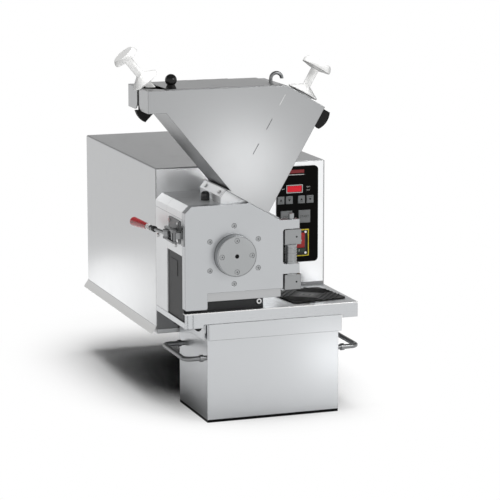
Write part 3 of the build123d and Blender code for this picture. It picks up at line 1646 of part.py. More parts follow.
head_bolt_z = latch_base_z - latch_base_height / 2 - head_bolt_radius - head_bolt_gap
with BuildPart() as head_screws:
    with BuildSketch(beside(left)):
        with Locations(
            (front - head_bolt_from_housing, head_bolt_z),
            (chamber_front + head_bolt_from_front, head_bolt_z),
        ):
            Circle(head_bolt_radius)
    extrude(amount=-head_bolt_height)
    with BuildSketch(across(chamber_front)):
        with Locations((left + ring_screw_inset, ring_screw_z)):
            Circle(ring_screw_radius)
            Circle(ring_screw_radius / 2, mode=Mode.SUBTRACT)
    extrude(amount=head_bolt_height)
    with BuildSketch(wedge_plane.offset(bracket_thickness)):
        with Locations(
            (wedge_face_length / 2, bracket_screw_inset),
            (wedge_face_length / 2, hopper_depth - bracket_screw_inset),
        ):
            RegularPolygon(screw_head_radius, 6)
    extrude(amount=screw_head_height)
head_screws.part.label = "head_screws"
export_step(head_screws.part, "parts/head_screws.step")
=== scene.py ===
"""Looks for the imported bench-top cutting mill: materials, printed marks, small fittings and a studio.

The file is laid out as an add-on and run as a script.  Metres, +Z up, the operator's side is -Y.
"""

from math import cos, pi, radians, sin

import bmesh
import bpy
from bpy.props import FloatProperty, FloatVectorProperty, PointerProperty
from mathutils import Matrix, Vector


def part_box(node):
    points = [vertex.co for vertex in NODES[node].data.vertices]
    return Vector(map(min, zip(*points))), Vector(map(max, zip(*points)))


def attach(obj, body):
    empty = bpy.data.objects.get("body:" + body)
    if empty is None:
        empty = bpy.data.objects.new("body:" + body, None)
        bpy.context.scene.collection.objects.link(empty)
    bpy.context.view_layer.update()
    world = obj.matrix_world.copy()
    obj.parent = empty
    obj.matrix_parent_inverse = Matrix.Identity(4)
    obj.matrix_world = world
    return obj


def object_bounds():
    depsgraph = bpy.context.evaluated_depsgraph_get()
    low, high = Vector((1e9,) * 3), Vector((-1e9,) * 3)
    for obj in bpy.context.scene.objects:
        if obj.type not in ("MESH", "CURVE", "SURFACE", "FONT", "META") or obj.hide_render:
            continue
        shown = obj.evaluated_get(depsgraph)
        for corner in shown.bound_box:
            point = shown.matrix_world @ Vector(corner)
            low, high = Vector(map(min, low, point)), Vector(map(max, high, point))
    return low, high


bl_info = {
    "name": "Cutting mill looks",
    "version": (1, 0, 0),
    "blender": (4, 5, 0),
    "location": "View3D > Sidebar > Mill",
    "description": "Dresses the packed cutting mill: materials, printed marks, small fittings and a studio",
    "category": "Object",
}

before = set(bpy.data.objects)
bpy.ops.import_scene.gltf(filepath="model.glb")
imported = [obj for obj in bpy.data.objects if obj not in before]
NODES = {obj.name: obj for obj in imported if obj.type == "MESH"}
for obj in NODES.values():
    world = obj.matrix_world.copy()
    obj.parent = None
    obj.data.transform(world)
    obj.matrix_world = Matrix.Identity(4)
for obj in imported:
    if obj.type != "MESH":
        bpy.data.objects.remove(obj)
CAD_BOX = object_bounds()
MM = 0.001
PRINT = 0.06 * MM  # thickness of printed marks
WELD = 0.005 * MM  # corners closer than this are one
X, Z = Vector((1, 0, 0)), Vector((0, 0, 1))

HEAD_JOINT = 297 * MM  # height of the joint line on the left of the head
HINGE_X = 46 * MM  # axis of the door hinge
LEVER_PIVOT, LEVER_TURN = Vector((-0.229, -0.446, 0.262)), radians(98)  # latch lever when shut
MAT_TURN = radians(53)  # turn of the mat's squares on the table

# What the metal mirrors: brightness by height of the direction, behind the mill and in front of it.
BEHIND = ((0.04, 1.0), (0.20, 0.76), (0.36, 0.24), (0.75, 0.06), (1.0, 0.30))
FRONT = ((0.04, 1.0), (0.24, 0.86), (0.45, 0.70), (0.75, 0.25), (1.0, 0.30))

# Lamps: name, place, target, width in metres, power in watts, and the pieces it is kept to, if any.
LAMPS = (
    ("overhead", (0.1, -0.1, 2.6), (0.0, -0.1, 0.0), 1.7, 84.0, ""),
    ("high front", (2.0, -3.4, 2.2), (0.0, -0.3, 0.3), 1.2, 45.0, ""),
    ("left glow", (-0.39, 0.563, -0.07), (-0.205, 0.0, 0.04), 0.2, 0.11, "housing_cover"),
    ("hopper glow", (0.13, -1.05, 0.33), (-0.062, -0.49, 0.42), 0.17, 0.17, "hopper_shell"),
    ("panel glow", (0.247, -0.493, 0.059), (0.178, -0.286, 0.101), 0.02, 0.006, "housing_front"),
    ("front wash", (0.65, -1.68, 0.02), (0.15, -0.286, 0.28), 0.5, 0.5, "housing_front"),
    ("bracket glow", (0.039, -0.736, 0.252), (-0.11, -0.286, 0.344), 0.06, 0.16, "housing_front"),
    ("head wash", (0.16, -1.31, 0.67), (-0.13, -0.38, 0.32), 0.5, 0.4, "head_carrier chamber_body"),
    ("bracket shine", (-0.21, 0.39, 0.63), (-0.11, -0.35, 0.36), 0.3, 0.45, "hopper_bracket head_screws"),
    ("chamfer shine", (-0.39, 0.51, 0.62), (-0.2, -0.40, 0.31), 0.5, 1.1, "head_carrier chamber_body"),
    ("vessel glow", (0.30, -0.85, -0.14), (0.13, -0.5, -0.06), 0.14, 0.07, "vessel_body"),
)


def linear(code):
    """Turn an sRGB hex code into the linear colour that the shaders take."""
    channels = [int(code[i : i + 2], 16) / 255 for i in (1, 3, 5)]
    return (*[c / 12.92 if c <= 0.04045 else ((c + 0.055) / 1.055) ** 2.4 for c in channels], 1.0)


def colour(code, name, description):
    """A colour the user may change, given as the sRGB hex code of its default."""
    return FloatVectorProperty(
        name=name, description=description, subtype="COLOR", size=4, min=0.0, max=1.0, default=linear(code)
    )


def length(millimetres, name, description, most=20.0):
    """A length the user may change, given in millimetres."""
    return FloatProperty(
        name=name,
        description=description,
        default=millimetres * MM,
        min=0.0,
        max=most * MM,
        unit="LENGTH",
        precision=5,
    )


# ------------------------------------------------------------------------------------ settings
class MillColours(bpy.types.PropertyGroup):
    """Colours of the mill's finishes."""

    sheet: colour("#B6B7B8", "Housing sheet", "Satin-ground stainless sheet of the housing")
    hopper: colour("#A7A8A9", "Hopper sheet", "Brushed stainless sheet of the hopper and its lid")
    vessel: colour("#C8CACC", "Vessel sheet", "Brushed stainless sheet of the vessel and the table")
    # On the housing's end panels the head's tone is painted light, lighter than the cover's sheet.
    head: colour("#DADBDC", "Head", "Bead-blasted aluminium of the head")
    machined: colour("#BDBFC1", "Door", "Bead-blasted stainless of the door")
    cap: colour("#A9ABAC", "Cap and hinge", "Turned and milled steel of the round cap and the hinge blocks")
    bright: colour("#DADADA", "Bright steel", "Polished pins and the vessel handles")
    fastener: colour("#8E8F90", "Fastener steel", "Plated screws and the toggle latch")
    # The gap colour is painted shade in the gaps round screw heads and along the vessel's bottom edge;
    # darkened further it is the hinge grub screws' own black.
    gap: colour("#1C1C1D", "Gap", "Dark gaps round screw heads and along folds")
    tool: colour("#A9A8A5", "Tool steel", "Ground knives, shaft and rotor")
    dark_coat: colour("#2C2D2E", "Dark coating", "Coated outlet housing under the chamber")
    panel: colour("#080706", "Panel black", "Printed membrane over the controls")
    display: colour("#E00F27", "Display red", "Window over the lit display")
    key: colour("#8A8C8D", "Key grey", "Printed membrane keys")
    legend: colour("#D9D9D6", "Legend", "Light print on the panel")
    accent: colour("#86131C", "Accent red", "Red bar at the top of the panel")
    warning: colour("#F2DC1E", "Frame yellow", "Yellow line round the main switch")
    stop: colour("#B70A0C", "Stop red", "Stop push plate")
    start: colour("#17321F", "Start green", "Start push plate")
    grip: colour("#A50F1A", "Grip red", "Moulded latch grip")
    knob: colour("#131313", "Knob black", "Moulded knobs")
    rubber: colour("#1B1B1B", "Rubber black", "Bumpers, mat and feet")
    # The mat's middle is drawn as a plain grey field.
    mat_field: colour("#4E4E4E", "Mat field", "Worn middle of the rubber mat")
    # Plunger white also paints the highlights on the cover's lower lips and along the table's top fold.
    white: colour("#E6E6E5", "Plunger white", "Turned white plastic")
    floor: colour("#F7F7F7", "Floor", "Pale studio floor")


class MillSizes(bpy.types.PropertyGroup):
    """Sizes of the fine detail."""

    sheet_edge: length(0.5, "Sheet edge", "Rounding on folded sheet edges", 2.0)
    machined_edge: length(0.9, "Machined edge", "Chamfer broken on machined plates", 3.0)
    moulded_edge: length(0.6, "Moulded edge", "Rounding on moulded parts", 2.0)
    small_edge: length(0.25, "Small edge", "Rounding on screws and pins", 1.0)
    # The edge line is painted reflection: a dark line drawn into the base colour along edges.
    painted_edge_shade: length(1.6, "Edge line", "Width of the dark line where a fold or an edge turns away", 5.0)
    brush_spacing: length(1.1, "Brush spacing", "Distance between drawn brush lines", 10.0)
    blast_grain: length(0.9, "Blast grain", "Size of a drawn dimple in blasted steel", 10.0)
    slot_length: length(27.0, "Weld slot length", "Length of a partition weld on the hopper front", 60.0)
    lens: FloatProperty(
        name="Lens", description="Focal length on a 36 mm sensor", default=170.2, min=20.0, max=400.0
    )
    camera_place: FloatVectorProperty(
        name="Camera place",
        description="Where the camera stands",
        subtype="TRANSLATION",
        default=(-1.7728, -5.3263, 1.2029),
    )
    camera_pitch: FloatProperty(
        name="Camera pitch",
        description="Tilt up from straight down",
        subtype="ANGLE",
        default=radians(79.18),
    )
    camera_yaw: FloatProperty(
        name="Camera yaw",
        description="Turn about the vertical",
        subtype="ANGLE",
        default=radians(-19.6),
    )


def colours():
    return bpy.context.scene.mill_colours


def sizes():
    return bpy.context.scene.mill_sizes


# ------------------------------------------------------------------------------------ shader nodes
def add(tree, kind, inputs=None, **settings):
    """Add one node.  An input is a value, or the output socket that feeds it."""
    made = tree.nodes.new(kind)
    for key, value in settings.items():
        setattr(made, key, value)
    for key, value in (inputs or {}).items():
        if isinstance(value, bpy.types.NodeSocket):
            tree.links.new(value, made.inputs[key])
        else:
            made.inputs[key].default_value = value
    return made


def calculate(tree, operation, *values):
    """One step of arithmetic on sockets and numbers."""
    return add(tree, "ShaderNodeMath", dict(enumerate(values)), operation=operation).outputs[0]


def blend(tree, share, first, second):
    """Blend two colours: a share of 0 gives the first and 1 the second."""
    return add(tree, "ShaderNodeMix", {0: share, 6: first, 7: second}, data_type="RGBA").outputs[2]


def spread(tree, value, source=(0.0, 1.0), target=(0.0, 1.0), **settings):
    """Carry a range of values over to another range, and hold it at the ends."""
    ends = dict(zip(("From Min", "From Max", "To Min", "To Max"), (*source, *target)))
    return add(tree, "ShaderNodeMapRange", {"Value": value, **ends}, **settings).outputs[0]


def noise(tree, place, scale, **more):
    """Soft noise with a value for each spot."""
    return add(tree, "ShaderNodeTexNoise", {"Vector": place, "Scale": scale, **more}).outputs[0]


def relief(tree, height, strength, depth=0.1 * MM, **more):
    """Normal of a fine relief."""
    inputs = {"Height": height, "Strength": strength, "Distance": depth, **more}
    return add(tree, "ShaderNodeBump", inputs).outputs[0]


def start(name):
    """A new material with its Principled surface, or only the material if it is there already."""
    found = bpy.data.materials.get(name)
    if found:
        return found, None, None, None
    material = bpy.data.materials.new(name)
    material.use_nodes = True
    tree = material.node_tree
    surface = tree.nodes["Principled BSDF"]
    place = add(tree, "ShaderNodeTexCoord").outputs["Object"]
    return material, tree, surface, place


def finish(tree, surface, base, roughness, normal, **sockets):
    """Join colour, roughness and relief to the surface and set its plain sockets."""
    for key, socket in (("Base Color", base), ("Roughness", roughness), ("Normal", normal)):
        tree.links.new(socket, surface.inputs[key])
    for key, value in sockets.items():
        surface.inputs[key.replace("_", " ")].default_value = value


def shade(c, factor):
    """A colour made lighter or darker."""
    return (*[min(1.0, v * factor) for v in c[:3]], 1.0)


def painted_edge_shade(tree, base, tone):
    """Painted reflection: darken a thin line in the base colour along every edge, where a fold or a broken
    edge would mirror the dark above.

    Returns the colour, and the normal that rounds the edge.
    """
    rounded = add(tree, "ShaderNodeBevel", {"Radius": sizes().painted_edge_shade}, samples=6).outputs[0]
    plain = add(tree, "ShaderNodeNewGeometry").outputs["Normal"]
    cosine = add(tree, "ShaderNodeVectorMath", {0: rounded, 1: plain}, operation="DOT_PRODUCT")
    line = spread(tree, cosine.outputs["Value"], (0.99, 0.88))
    return blend(tree, line, base, shade(tone, 0.25)), rounded


def bands(tree, base, place, marks):
    """Draw bands across a surface, each given as its axis, middle, half width and colour."""
    split = add(tree, "ShaderNodeSeparateXYZ", {"Vector": place})
    for axis, middle, half, tone in marks:
        near = calculate(tree, "COMPARE", split.outputs[axis], middle, half)
        base = blend(tree, near, base, tone)
    return base


def brushed_stainless(name, tone, lines, low=0.29, high=0.34, marks=()):
    """Cold-rolled stainless sheet, belt-brushed: long soft streaks that spread highlights across the grain.

    Real scratches are about 0.1 mm apart, too fine for the render, so they are drawn at brush_spacing.
    """
    material, tree, surface, place = start(name)
    if tree is None:
        return material
    across = 1 / sizes().brush_spacing
    along = across * 0.012
    scale = [along if axis == lines else across for axis in "XYZ"]
    drawn_out = add(tree, "ShaderNodeMapping", {"Vector": place, "Scale": scale}).outputs[0]
    streak = noise(tree, drawn_out, 1.0, Detail=3.0, Roughness=0.55)
    cloud = noise(tree, place, 6.0, Detail=2.0, Roughness=0.5)
    smudge = noise(tree, place, 30.0, Detail=2.0, Distortion=0.6)
    base = blend(tree, streak, shade(tone, 0.97), shade(tone, 1.03))
    base = blend(tree, cloud, base, shade(tone, 0.985))
    worn = spread(tree, smudge, (0.55, 0.8), (0.0, 0.03))
    rough = calculate(tree, "ADD", spread(tree, streak, target=(low, high)), worn)
    base, rounded = painted_edge_shade(tree, base, tone)
    base = bands(tree, base, place, marks)
    finish(tree, surface, base, rough, relief(tree, streak, 0.04, Normal=rounded), Metallic=1.0)
    return material


def blasted_stainless(name, tone, lines=(), low=0.34, high=0.42):
    """Machined stainless, glass-bead blasted: an even pearl-grey with no grain and a wide soft highlight.

    Real dimples are about 0.1 mm across and are drawn at blast_grain.  lines are dark joint lines, each
    given as its axis, place and the highest x it reaches.
    """
    material, tree, surface, place = start(name)
    if tree is None:
        return material
    half_line = 0.45 * MM
    grain = noise(tree, place, 1 / sizes().blast_grain, Detail=3.0)
    cloud = noise(tree, place, 9.0, Detail=2.0)
    base = blend(tree, cloud, shade(tone, 0.96), shade(tone, 1.04))
    split = add(tree, "ShaderNodeSeparateXYZ", {"Vector": place})
    for axis, where, until in lines:
        near = calculate(tree, "COMPARE", split.outputs[axis], where, half_line)
        side = calculate(tree, "LESS_THAN", split.outputs["X"], until)
        base = blend(tree, calculate(tree, "MULTIPLY", near, side), base, shade(tone, 0.45))
    rough = spread(tree, grain, target=(low, high))
    base, rounded = painted_edge_shade(tree, base, tone)
    finish(tree, surface, base, rough, relief(tree, grain, 0.06, Normal=rounded), Metallic=1.0)
    return material


def polished_steel(name, tone, low=0.12, high=0.24):
    """Turned or rolled steel, polished and plated: crisp reflections with faint turning marks."""
    material, tree, surface, place = start(name)
    if tree is None:
        return material
    wear = noise(tree, place, 160.0, Detail=4.0, Roughness=0.6)
    base = blend(tree, wear, shade(tone, 0.88), shade(tone, 1.05))
    rough = spread(tree, wear, target=(low, high))
    finish(tree, surface, base, rough, relief(tree, wear, 0.05), Metallic=1.0)
    return material


def ground_tool_steel(name, tone):
    """Hardened tool steel, surface-ground: darker than stainless, with short fine grinding lines."""
    material, tree, surface, place = start(name)
    if tree is None:
        return material
    drawn_out = add(tree, "ShaderNodeMapping", {"Vector": place, "Scale": (900.0, 40.0, 900.0)}).outputs[0]
    line = noise(tree, drawn_out, 1.0, Detail=3.0)
    base = blend(tree, line, shade(tone, 0.85), shade(tone, 1.08))
    rough = spread(tree, line, target=(0.22, 0.36))
    finish(tree, surface, base, rough, relief(tree, line, 0.1), Metallic=1.0)
    return material


def hard_coated(name, tone):
    """Coated aluminium casting, dark hard coat: a flat charcoal with a fine grain and dull highlights."""
    material, tree, surface, place = start(name)
    if tree is None:
        return material
    grain = noise(tree, place, 1400.0, Detail=2.0)
    cloud = noise(tree, place, 14.0, Detail=3.0)
    base = blend(tree, cloud, shade(tone, 0.82), shade(tone, 1.15))
    rough = spread(tree, grain, target=(0.42, 0.6))
    base, rounded = painted_edge_shade(tree, base, tone)
    finish(tree, surface, base, rough, relief(tree, grain, 0.2, Normal=rounded), Specular_IOR_Level=0.35)
    return material


def moulded(name, tone, low, high, grain=900.0, specular=0.5, texture=0.15, coat=0.0):
    """Moulded plastic: an even body colour, a slight orange peel and soft flow clouds."""
    material, tree, surface, place = start(name)
    if tree is None:
        return material
    peel = noise(tree, place, grain, Detail=2.0)
    cloud = noise(tree, place, 30.0, Detail=2.0)
    base = blend(tree, cloud, shade(tone, 0.93), shade(tone, 1.05))
    rough = spread(tree, peel, target=(low, high))
    shine = {"Specular_IOR_Level": specular, "Coat_Weight": coat, "Coat_Roughness": 0.08}
    finish(tree, surface, base, rough, relief(tree, peel, texture), **shine)
    return material


def nested_squares(tree, place, middle, turn):
    """Distance from the middle of nested squares to the one that a spot lies on."""
    about = {"Vector": place, "Center": middle, "Angle": -turn}
    straight = add(tree, "ShaderNodeVectorRotate", about, rotation_type="Z_AXIS").outputs[0]
    offset = add(tree, "ShaderNodeVectorMath", {0: straight, 1: middle}, operation="SUBTRACT").outputs[0]
    offset = add(tree, "ShaderNodeVectorMath", {0: offset}, operation="ABSOLUTE").outputs[0]
    split = add(tree, "ShaderNodeSeparateXYZ", {"Vector": offset})
    return calculate(tree, "MAXIMUM", split.outputs["X"], split.outputs["Y"])


def ribbed_rubber(name, tone, field, middle, turn):
    """Moulded rubber mat: shiny black ribs in nested squares, with grey bands between them and a grey
    middle.
    """
    material, tree, surface, place = start(name)
    if tree is None:
        return material
    first_rib, rib_pitch, grey_reach = 4.5 * MM, 11 * MM, 21 * MM
    out = nested_squares(tree, place, middle, turn)
    step = calculate(tree, "DIVIDE", calculate(tree, "SUBTRACT", out, first_rib), rib_pitch)
    rib = spread(tree, calculate(tree, "FRACT", step), (0.4, 0.5))
    inside = calculate(tree, "LESS_THAN", out, grey_reach)
    base = blend(tree, rib, shade(field, 0.45), shade(tone, 0.1))
    base = blend(tree, inside, base, field)
    rough = spread(tree, rib, target=(0.6, 0.4))
    grain = noise(tree, place, 700.0, Detail=3.0)
    finish(tree, surface, base, rough, relief(tree, grain, 0.3, 0.15 * MM), Specular_IOR_Level=0.08)
    return material


def rubber(name, tone):
    """Moulded nitrile rubber: near black, matt, with a dusty bloom that lifts it slightly."""
    material, tree, surface, place = start(name)
    if tree is None:
        return material
    grain = noise(tree, place, 700.0, Detail=3.0)
    bloom = noise(tree, place, 25.0, Detail=4.0, Roughness=0.6)
    base = blend(tree, bloom, shade(tone, 0.7), shade(tone, 1.5))
    rough = spread(tree, grain, target=(0.55, 0.8))
    finish(tree, surface, base, rough, relief(tree, grain, 0.3, 0.15 * MM), Specular_IOR_Level=0.3)
    return material


# ------------------------------------------------------------------------------------ geometry
def smoothing():
    """Node group that welds the imported corners and shades by angle, so bevels take the light."""
    name = "weld and smooth"
    group = bpy.data.node_groups.get(name)
    if group:
        return group
    group = bpy.data.node_groups.new(name, "GeometryNodeTree")
    group.interface.new_socket("Geometry", in_out="INPUT", socket_type="NodeSocketGeometry")
    group.interface.new_socket("Geometry", in_out="OUTPUT", socket_type="NodeSocketGeometry")
    source = add(group, "NodeGroupInput")
    merged = add(group, "GeometryNodeMergeByDistance", {"Geometry": source.outputs[0], "Distance": WELD})
    stale = {"Geometry": merged.outputs[0], "Name": "custom_normal"}
    plain = add(group, "GeometryNodeRemoveAttribute", stale)
    smooth = add(group, "GeometryNodeSetShadeSmooth", {"Geometry": plain.outputs[0], "Shade Smooth": True})
    angle = add(group, "GeometryNodeInputMeshEdgeAngle")
    corner = {0: angle.outputs[0], 1: radians(32)}
    gentle = add(group, "FunctionNodeCompare", corner, data_type="FLOAT", operation="LESS_THAN")
    shading = {"Geometry": smooth.outputs[0], "Shade Smooth": gentle.outputs[0]}
    edges = add(group, "GeometryNodeSetShadeSmooth", shading, domain="EDGE")
    add(group, "NodeGroupOutput", {0: edges.outputs[0]})
    return group


def soften(piece, edge):
    """Weld, flatten and round the edges of a piece with modifiers only."""
    weld = piece.modifiers.new("weld and smooth", "NODES")
    weld.node_group = smoothing()
    if edge > 0:
        flat = piece.modifiers.new("flats", "DECIMATE")
        flat.decimate_type = "DISSOLVE"
        flat.angle_limit = radians(0.6)
        bevel = piece.modifiers.new("edges", "BEVEL")
        bevel.width = edge
        bevel.segments = 2
        bevel.limit_method = "ANGLE"
        bevel.angle_limit = radians(38)
        bevel.harden_normals = True
        bevel.use_clamp_overlap = True
        bevel.miter_outer = "MITER_ARC"


def dress(names, material, edge):
    """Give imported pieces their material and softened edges."""
    for name in names:
        piece = NODES[name]
        piece.data.materials.clear()
        piece.data.materials.append(material)
        soften(piece, edge)


def place_piece(name, bm, material, body, edge=0.0):
    """Turn a bmesh into a piece that rides on a body."""
    mesh = bpy.data.meshes.new(name)
    bmesh.ops.recalc_face_normals(bm, faces=bm.faces)
    bm.to_mesh(mesh)
    bm.free()
    piece = bpy.data.objects.new(name, mesh)
    bpy.context.scene.collection.objects.link(piece)
    mesh.materials.append(material)
    soften(piece, edge)
    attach(piece, body)


def prism(bm, outline, origin, u, v, height):
    """Add a flat shape, given in local u and v, raised by height along u x v."""
    normal = u.cross(v).normalized()
    low = [bm.verts.new(origin + u * a + v * b) for a, b in outline]
    high = [bm.verts.new(origin + u * a + v * b + normal * height) for a, b in outline]
    bm.faces.new(low)
    bm.faces.new(high)
    for i in range(len(outline)):
        j = (i + 1) % len(outline)
        bm.faces.new((low[i], low[j], high[j], high[i]))


def ring(bm, outer, inner, origin, u, v, height):
    """Add a flat frame between two outlines with the same number of corners."""
    normal = u.cross(v).normalized()
    loops = []
    for outline in (outer, inner):
        for lift in (0.0, height):
            loops.append([bm.verts.new(origin + u * a + v * b + normal * lift) for a, b in outline])
    low_out, high_out, low_in, high_in = loops
    for i in range(len(outer)):
        j = (i + 1) % len(outer)
        bm.faces.new((low_out[i], low_out[j], high_out[j], high_out[i]))
        bm.faces.new((low_in[i], low_in[j], high_in[j], high_in[i]))
        bm.faces.new((high_out[i], high_out[j], high_in[j], high_in[i]))
        bm.faces.new((low_out[i], low_out[j], low_in[j], low_in[i]))


def turned(bm, profile, origin, axis, steps=40):
    """Add a turned shape: profile is (radius, height) along the axis."""
    axis = axis.normalized()
    side = axis.orthogonal().normalized()
    other = axis.cross(side)
    rows = []
    for radius, height in profile:
        row = []
        for i in range(steps):
            a = 2 * pi * i / steps
            row.append(bm.verts.new(origin + axis * height + (side * cos(a) + other * sin(a)) * radius))
        rows.append(row)
    for low, high in zip(rows, rows[1:]):
        for i in range(steps):
            j = (i + 1) % steps
            bm.faces.new((low[i], low[j], high[j], high[i]))


def rectangle(width, height, radius=0.0):
    """Corners of a centred rectangle, rounded if a radius is given."""
    half_width, half_height, steps = width / 2, height / 2, 4
    if radius <= 0:
        return [(x * half_width, y * half_height) for x, y in ((-1, -1), (1, -1), (1, 1), (-1, 1))]
    points = []
    for cx, cy, first in ((1, 1, 0), (-1, 1, 90), (-1, -1, 180), (1, -1, 270)):
        for i in range(steps + 1):
            a = radians(first + 90 * i / steps)
            x, y = cx * (half_width - radius), cy * (half_height - radius)
            points.append((x + radius * cos(a), y + radius * sin(a)))
    return points


def circle(radius, steps=32):
    """Corners of a round outline."""
    return [(radius * cos(2 * pi * i / steps), radius * sin(2 * pi * i / steps)) for i in range(steps)]


def loose_parts(name):
    """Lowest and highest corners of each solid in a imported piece, from the bottom up and left to right."""
    piece = NODES[name]
    bm = bmesh.new()
    bm.from_mesh(piece.data)
    bmesh.ops.remove_doubles(bm, verts=bm.verts, dist=WELD)
    left, boxes = set(bm.verts), []
    for first in bm.verts:
        if first not in left:
            continue
        left.remove(first)
        found = [first]
        for vert in found:
            for edge in vert.link_edges:
                other = edge.other_vert(vert)
                if other in left:
                    left.remove(other)
                    found.append(other)
        spots = [piece.matrix_world @ vert.co for vert in found]
        boxes.append([Vector([pick(spot[i] for spot in spots) for i in range(3)]) for pick in (min, max)])
    bm.free()
    return sorted(boxes, key=lambda box: (round(box[0].z, 4), round(box[0].x, 4)))


def screw_gaps(name, screws):
    """Dark ring round each screw head on the front of the door: the gap is real, its darkness is painted
    shade.
    """
    material = blasted_stainless("screw gap painted shade", colours().gap)
    outside, inside = 0.35 * MM, 0.4 * MM
    bm = bmesh.new()
    for low, high in loose_parts(screws):
        middle = Vector(((low.x + high.x) / 2, low.y, (low.z + high.z) / 2))
        radius = (high.x - low.x) / 2
        ring(bm, circle(radius + outside), circle(radius - inside), middle, X, Z, PRINT)
    place_piece(name, bm, material, "door")


def front_of(name):
    """Middle of a piece's front face, with its width and height."""
    low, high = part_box(name)
    return Vector(((low.x + high.x) / 2, low.y, (low.z + high.z) / 2)), high.x - low.x, high.z - low.z


def words(name, text, middle, height, material, body):
    """A printed legend on a face that looks towards -Y."""
    curve = bpy.data.curves.new(name, "FONT")
    curve.body = text
    curve.size = height
    curve.align_x = "CENTER"
    curve.align_y = "CENTER"
    curve.extrude = PRINT / 2
    curve.resolution_u = 3
    curve.materials.append(material)
    piece = bpy.data.objects.new(name, curve)
    piece.matrix_world = Matrix.Translation(middle) @ Matrix.Rotation(radians(90), 4, "X")
    bpy.context.scene.collection.objects.link(piece)
    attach(piece, body)


# ------------------------------------------------------------------------------------ operators
class MILL_OT_studio(bpy.types.Operator):
    """Make the camera, the pale floor, the white surroundings and the soft lamps"""

    bl_idname = "mill.studio"
    bl_label = "Studio"

    def execute(self, context):
        scene, s = context.scene, sizes()
        scene.view_settings.view_transform = "Standard"
        camera = bpy.data.objects.new("camera", bpy.data.cameras.new("camera"))
        scene.collection.objects.link(camera)
        camera.data.lens = s.lens
        camera.data.sensor_width = 36.0
        camera.location = s.camera_place
        camera.rotation_euler = (s.camera_pitch, 0.0, s.camera_yaw)
        scene.camera = camera
        self.make_world(scene)
        self.make_floor(scene)
        self.make_lamps(scene)
        return {"FINISHED"}

    def make_world(self, scene):
        """White all round at the horizon, bright above it in front and dark behind, with a weak fill.

        Metal mirrors it: tops and edges show the dark behind, chamfers and fronts the bright front.
        The fill is all that matt parts get from it.
        """
        world = bpy.data.worlds.new("studio")
        scene.world = world
        world.use_nodes = True
        tree = world.node_tree
        tree.nodes.clear()
        direction = add(tree, "ShaderNodeTexCoord").outputs["Generated"]
        split = add(tree, "ShaderNodeSeparateXYZ", {"Vector": direction})
        turn = spread(tree, split.outputs["Y"], (-0.25, 0.35))
        front = self.dome(tree, split.outputs["Z"], FRONT)
        behind = self.dome(tree, split.outputs["Z"], BEHIND)
        whole = blend(tree, turn, front, behind)
        seen = add(tree, "ShaderNodeBackground", {"Color": whole, "Strength": 1.0})
        fill = add(tree, "ShaderNodeBackground", {"Color": (1.0, 1.0, 1.0, 1.0), "Strength": 0.05})
        depth = add(tree, "ShaderNodeLightPath").outputs["Diffuse Depth"]
        matt = calculate(tree, "GREATER_THAN", depth, 0.5)
        both = add(tree, "ShaderNodeMixShader", {0: matt, 1: seen.outputs[0], 2: fill.outputs[0]})
        add(tree, "ShaderNodeOutputWorld", {"Surface": both.outputs[0]})

    def dome(self, tree, height, levels):
        """Brightness by height above the horizon."""
        ramp = add(tree, "ShaderNodeValToRGB", {"Fac": height})
        ramp.color_ramp.interpolation = "EASE"
        stops = ramp.color_ramp.elements
        (stops[0].position, first), (stops[1].position, last) = levels[0], levels[-1]
        stops[0].color, stops[1].color = (first, first, first, 1.0), (last, last, last, 1.0)
        for position, value in levels[1:-1]:
            stops.new(position).color = (value, value, value, 1.0)
        return ramp.outputs[0]

    def make_floor(self, scene):
        """Pale floor that keeps the mill's shadow and runs out to plain white.

        The less of the sky a spot sees past the mill, the blacker its paper: a painted shadow in the floor's
        colour that deepens the lamps' shadow.
        """
        mesh = bpy.data.meshes.new("floor")
        reach, low = 14.0, CAD_BOX[0].z
        corners = [(x * reach, y * reach, low) for x, y in ((-1, -1), (1, -1), (1, 1), (-1, 1))]
        mesh.from_pydata(corners, [], [(0, 1, 2, 3)])
        floor = bpy.data.objects.new("floor", mesh)
        scene.collection.objects.link(floor)
        material = bpy.data.materials.new("studio paper")
        material.use_nodes = True
        tree = material.node_tree
        surface = tree.nodes["Principled BSDF"]
        black, darkest, palest = (0.002, 0.002, 0.002, 1.0), 0.33, 0.54
        # Painted shadow: ambient occlusion blackens the floor's colour under and beside the mill.
        sky = add(tree, "ShaderNodeAmbientOcclusion", {"Distance": 0.5}, samples=12).outputs["AO"]
        lit = spread(tree, sky, (darkest, palest), interpolation_type="SMOOTHSTEP")
        paper = blend(tree, lit, black, colours().floor)
        tree.links.new(paper, surface.inputs["Base Color"])
        surface.inputs["Roughness"].default_value = 0.9
        surface.inputs["Specular IOR Level"].default_value = 0.0
        white = add(tree, "ShaderNodeEmission", {"Color": (1, 1, 1, 1), "Strength": 1.0})
        share = self.white_share(tree, low)
        mixed = add(tree, "ShaderNodeMixShader", {0: share, 1: surface.outputs[0], 2: white.outputs[0]})
        tree.links.new(mixed.outputs[0], tree.nodes["Material Output"].inputs["Surface"])
        mesh.materials.append(material)

    def white_share(self, tree, low):
        """Share of plain white by distance from the mill; in reflections it starts further out.

        reach is where the white begins and where it is full, in metres.
        """
        place = add(tree, "ShaderNodeTexCoord").outputs["Object"]
        oval, middle = (1.0, 0.7, 1.0), (0.05, 0.035, low)
        drawn_in = add(tree, "ShaderNodeVectorMath", {0: place, 1: oval}, operation="MULTIPLY").outputs[0]
        apart = add(tree, "ShaderNodeVectorMath", {0: drawn_in, 1: middle}, operation="DISTANCE")
        away = apart.outputs["Value"]
        path = add(tree, "ShaderNodeLightPath").outputs
        mirrored = calculate(tree, "MAXIMUM", path["Is Glossy Ray"], path["Is Transmission Ray"])
        share = 0.0
        for ray, reach in ((path["Is Camera Ray"], (0.22, 0.52)), (mirrored, (0.30, 0.80))):
            fade = spread(tree, away, reach, interpolation_type="SMOOTHSTEP")
            share = calculate(tree, "MAXIMUM", calculate(tree, "MULTIPLY", fade, ray), share)
        return calculate(tree, "MULTIPLY", share, calculate(tree, "LESS_THAN", path["Diffuse Depth"], 0.5))

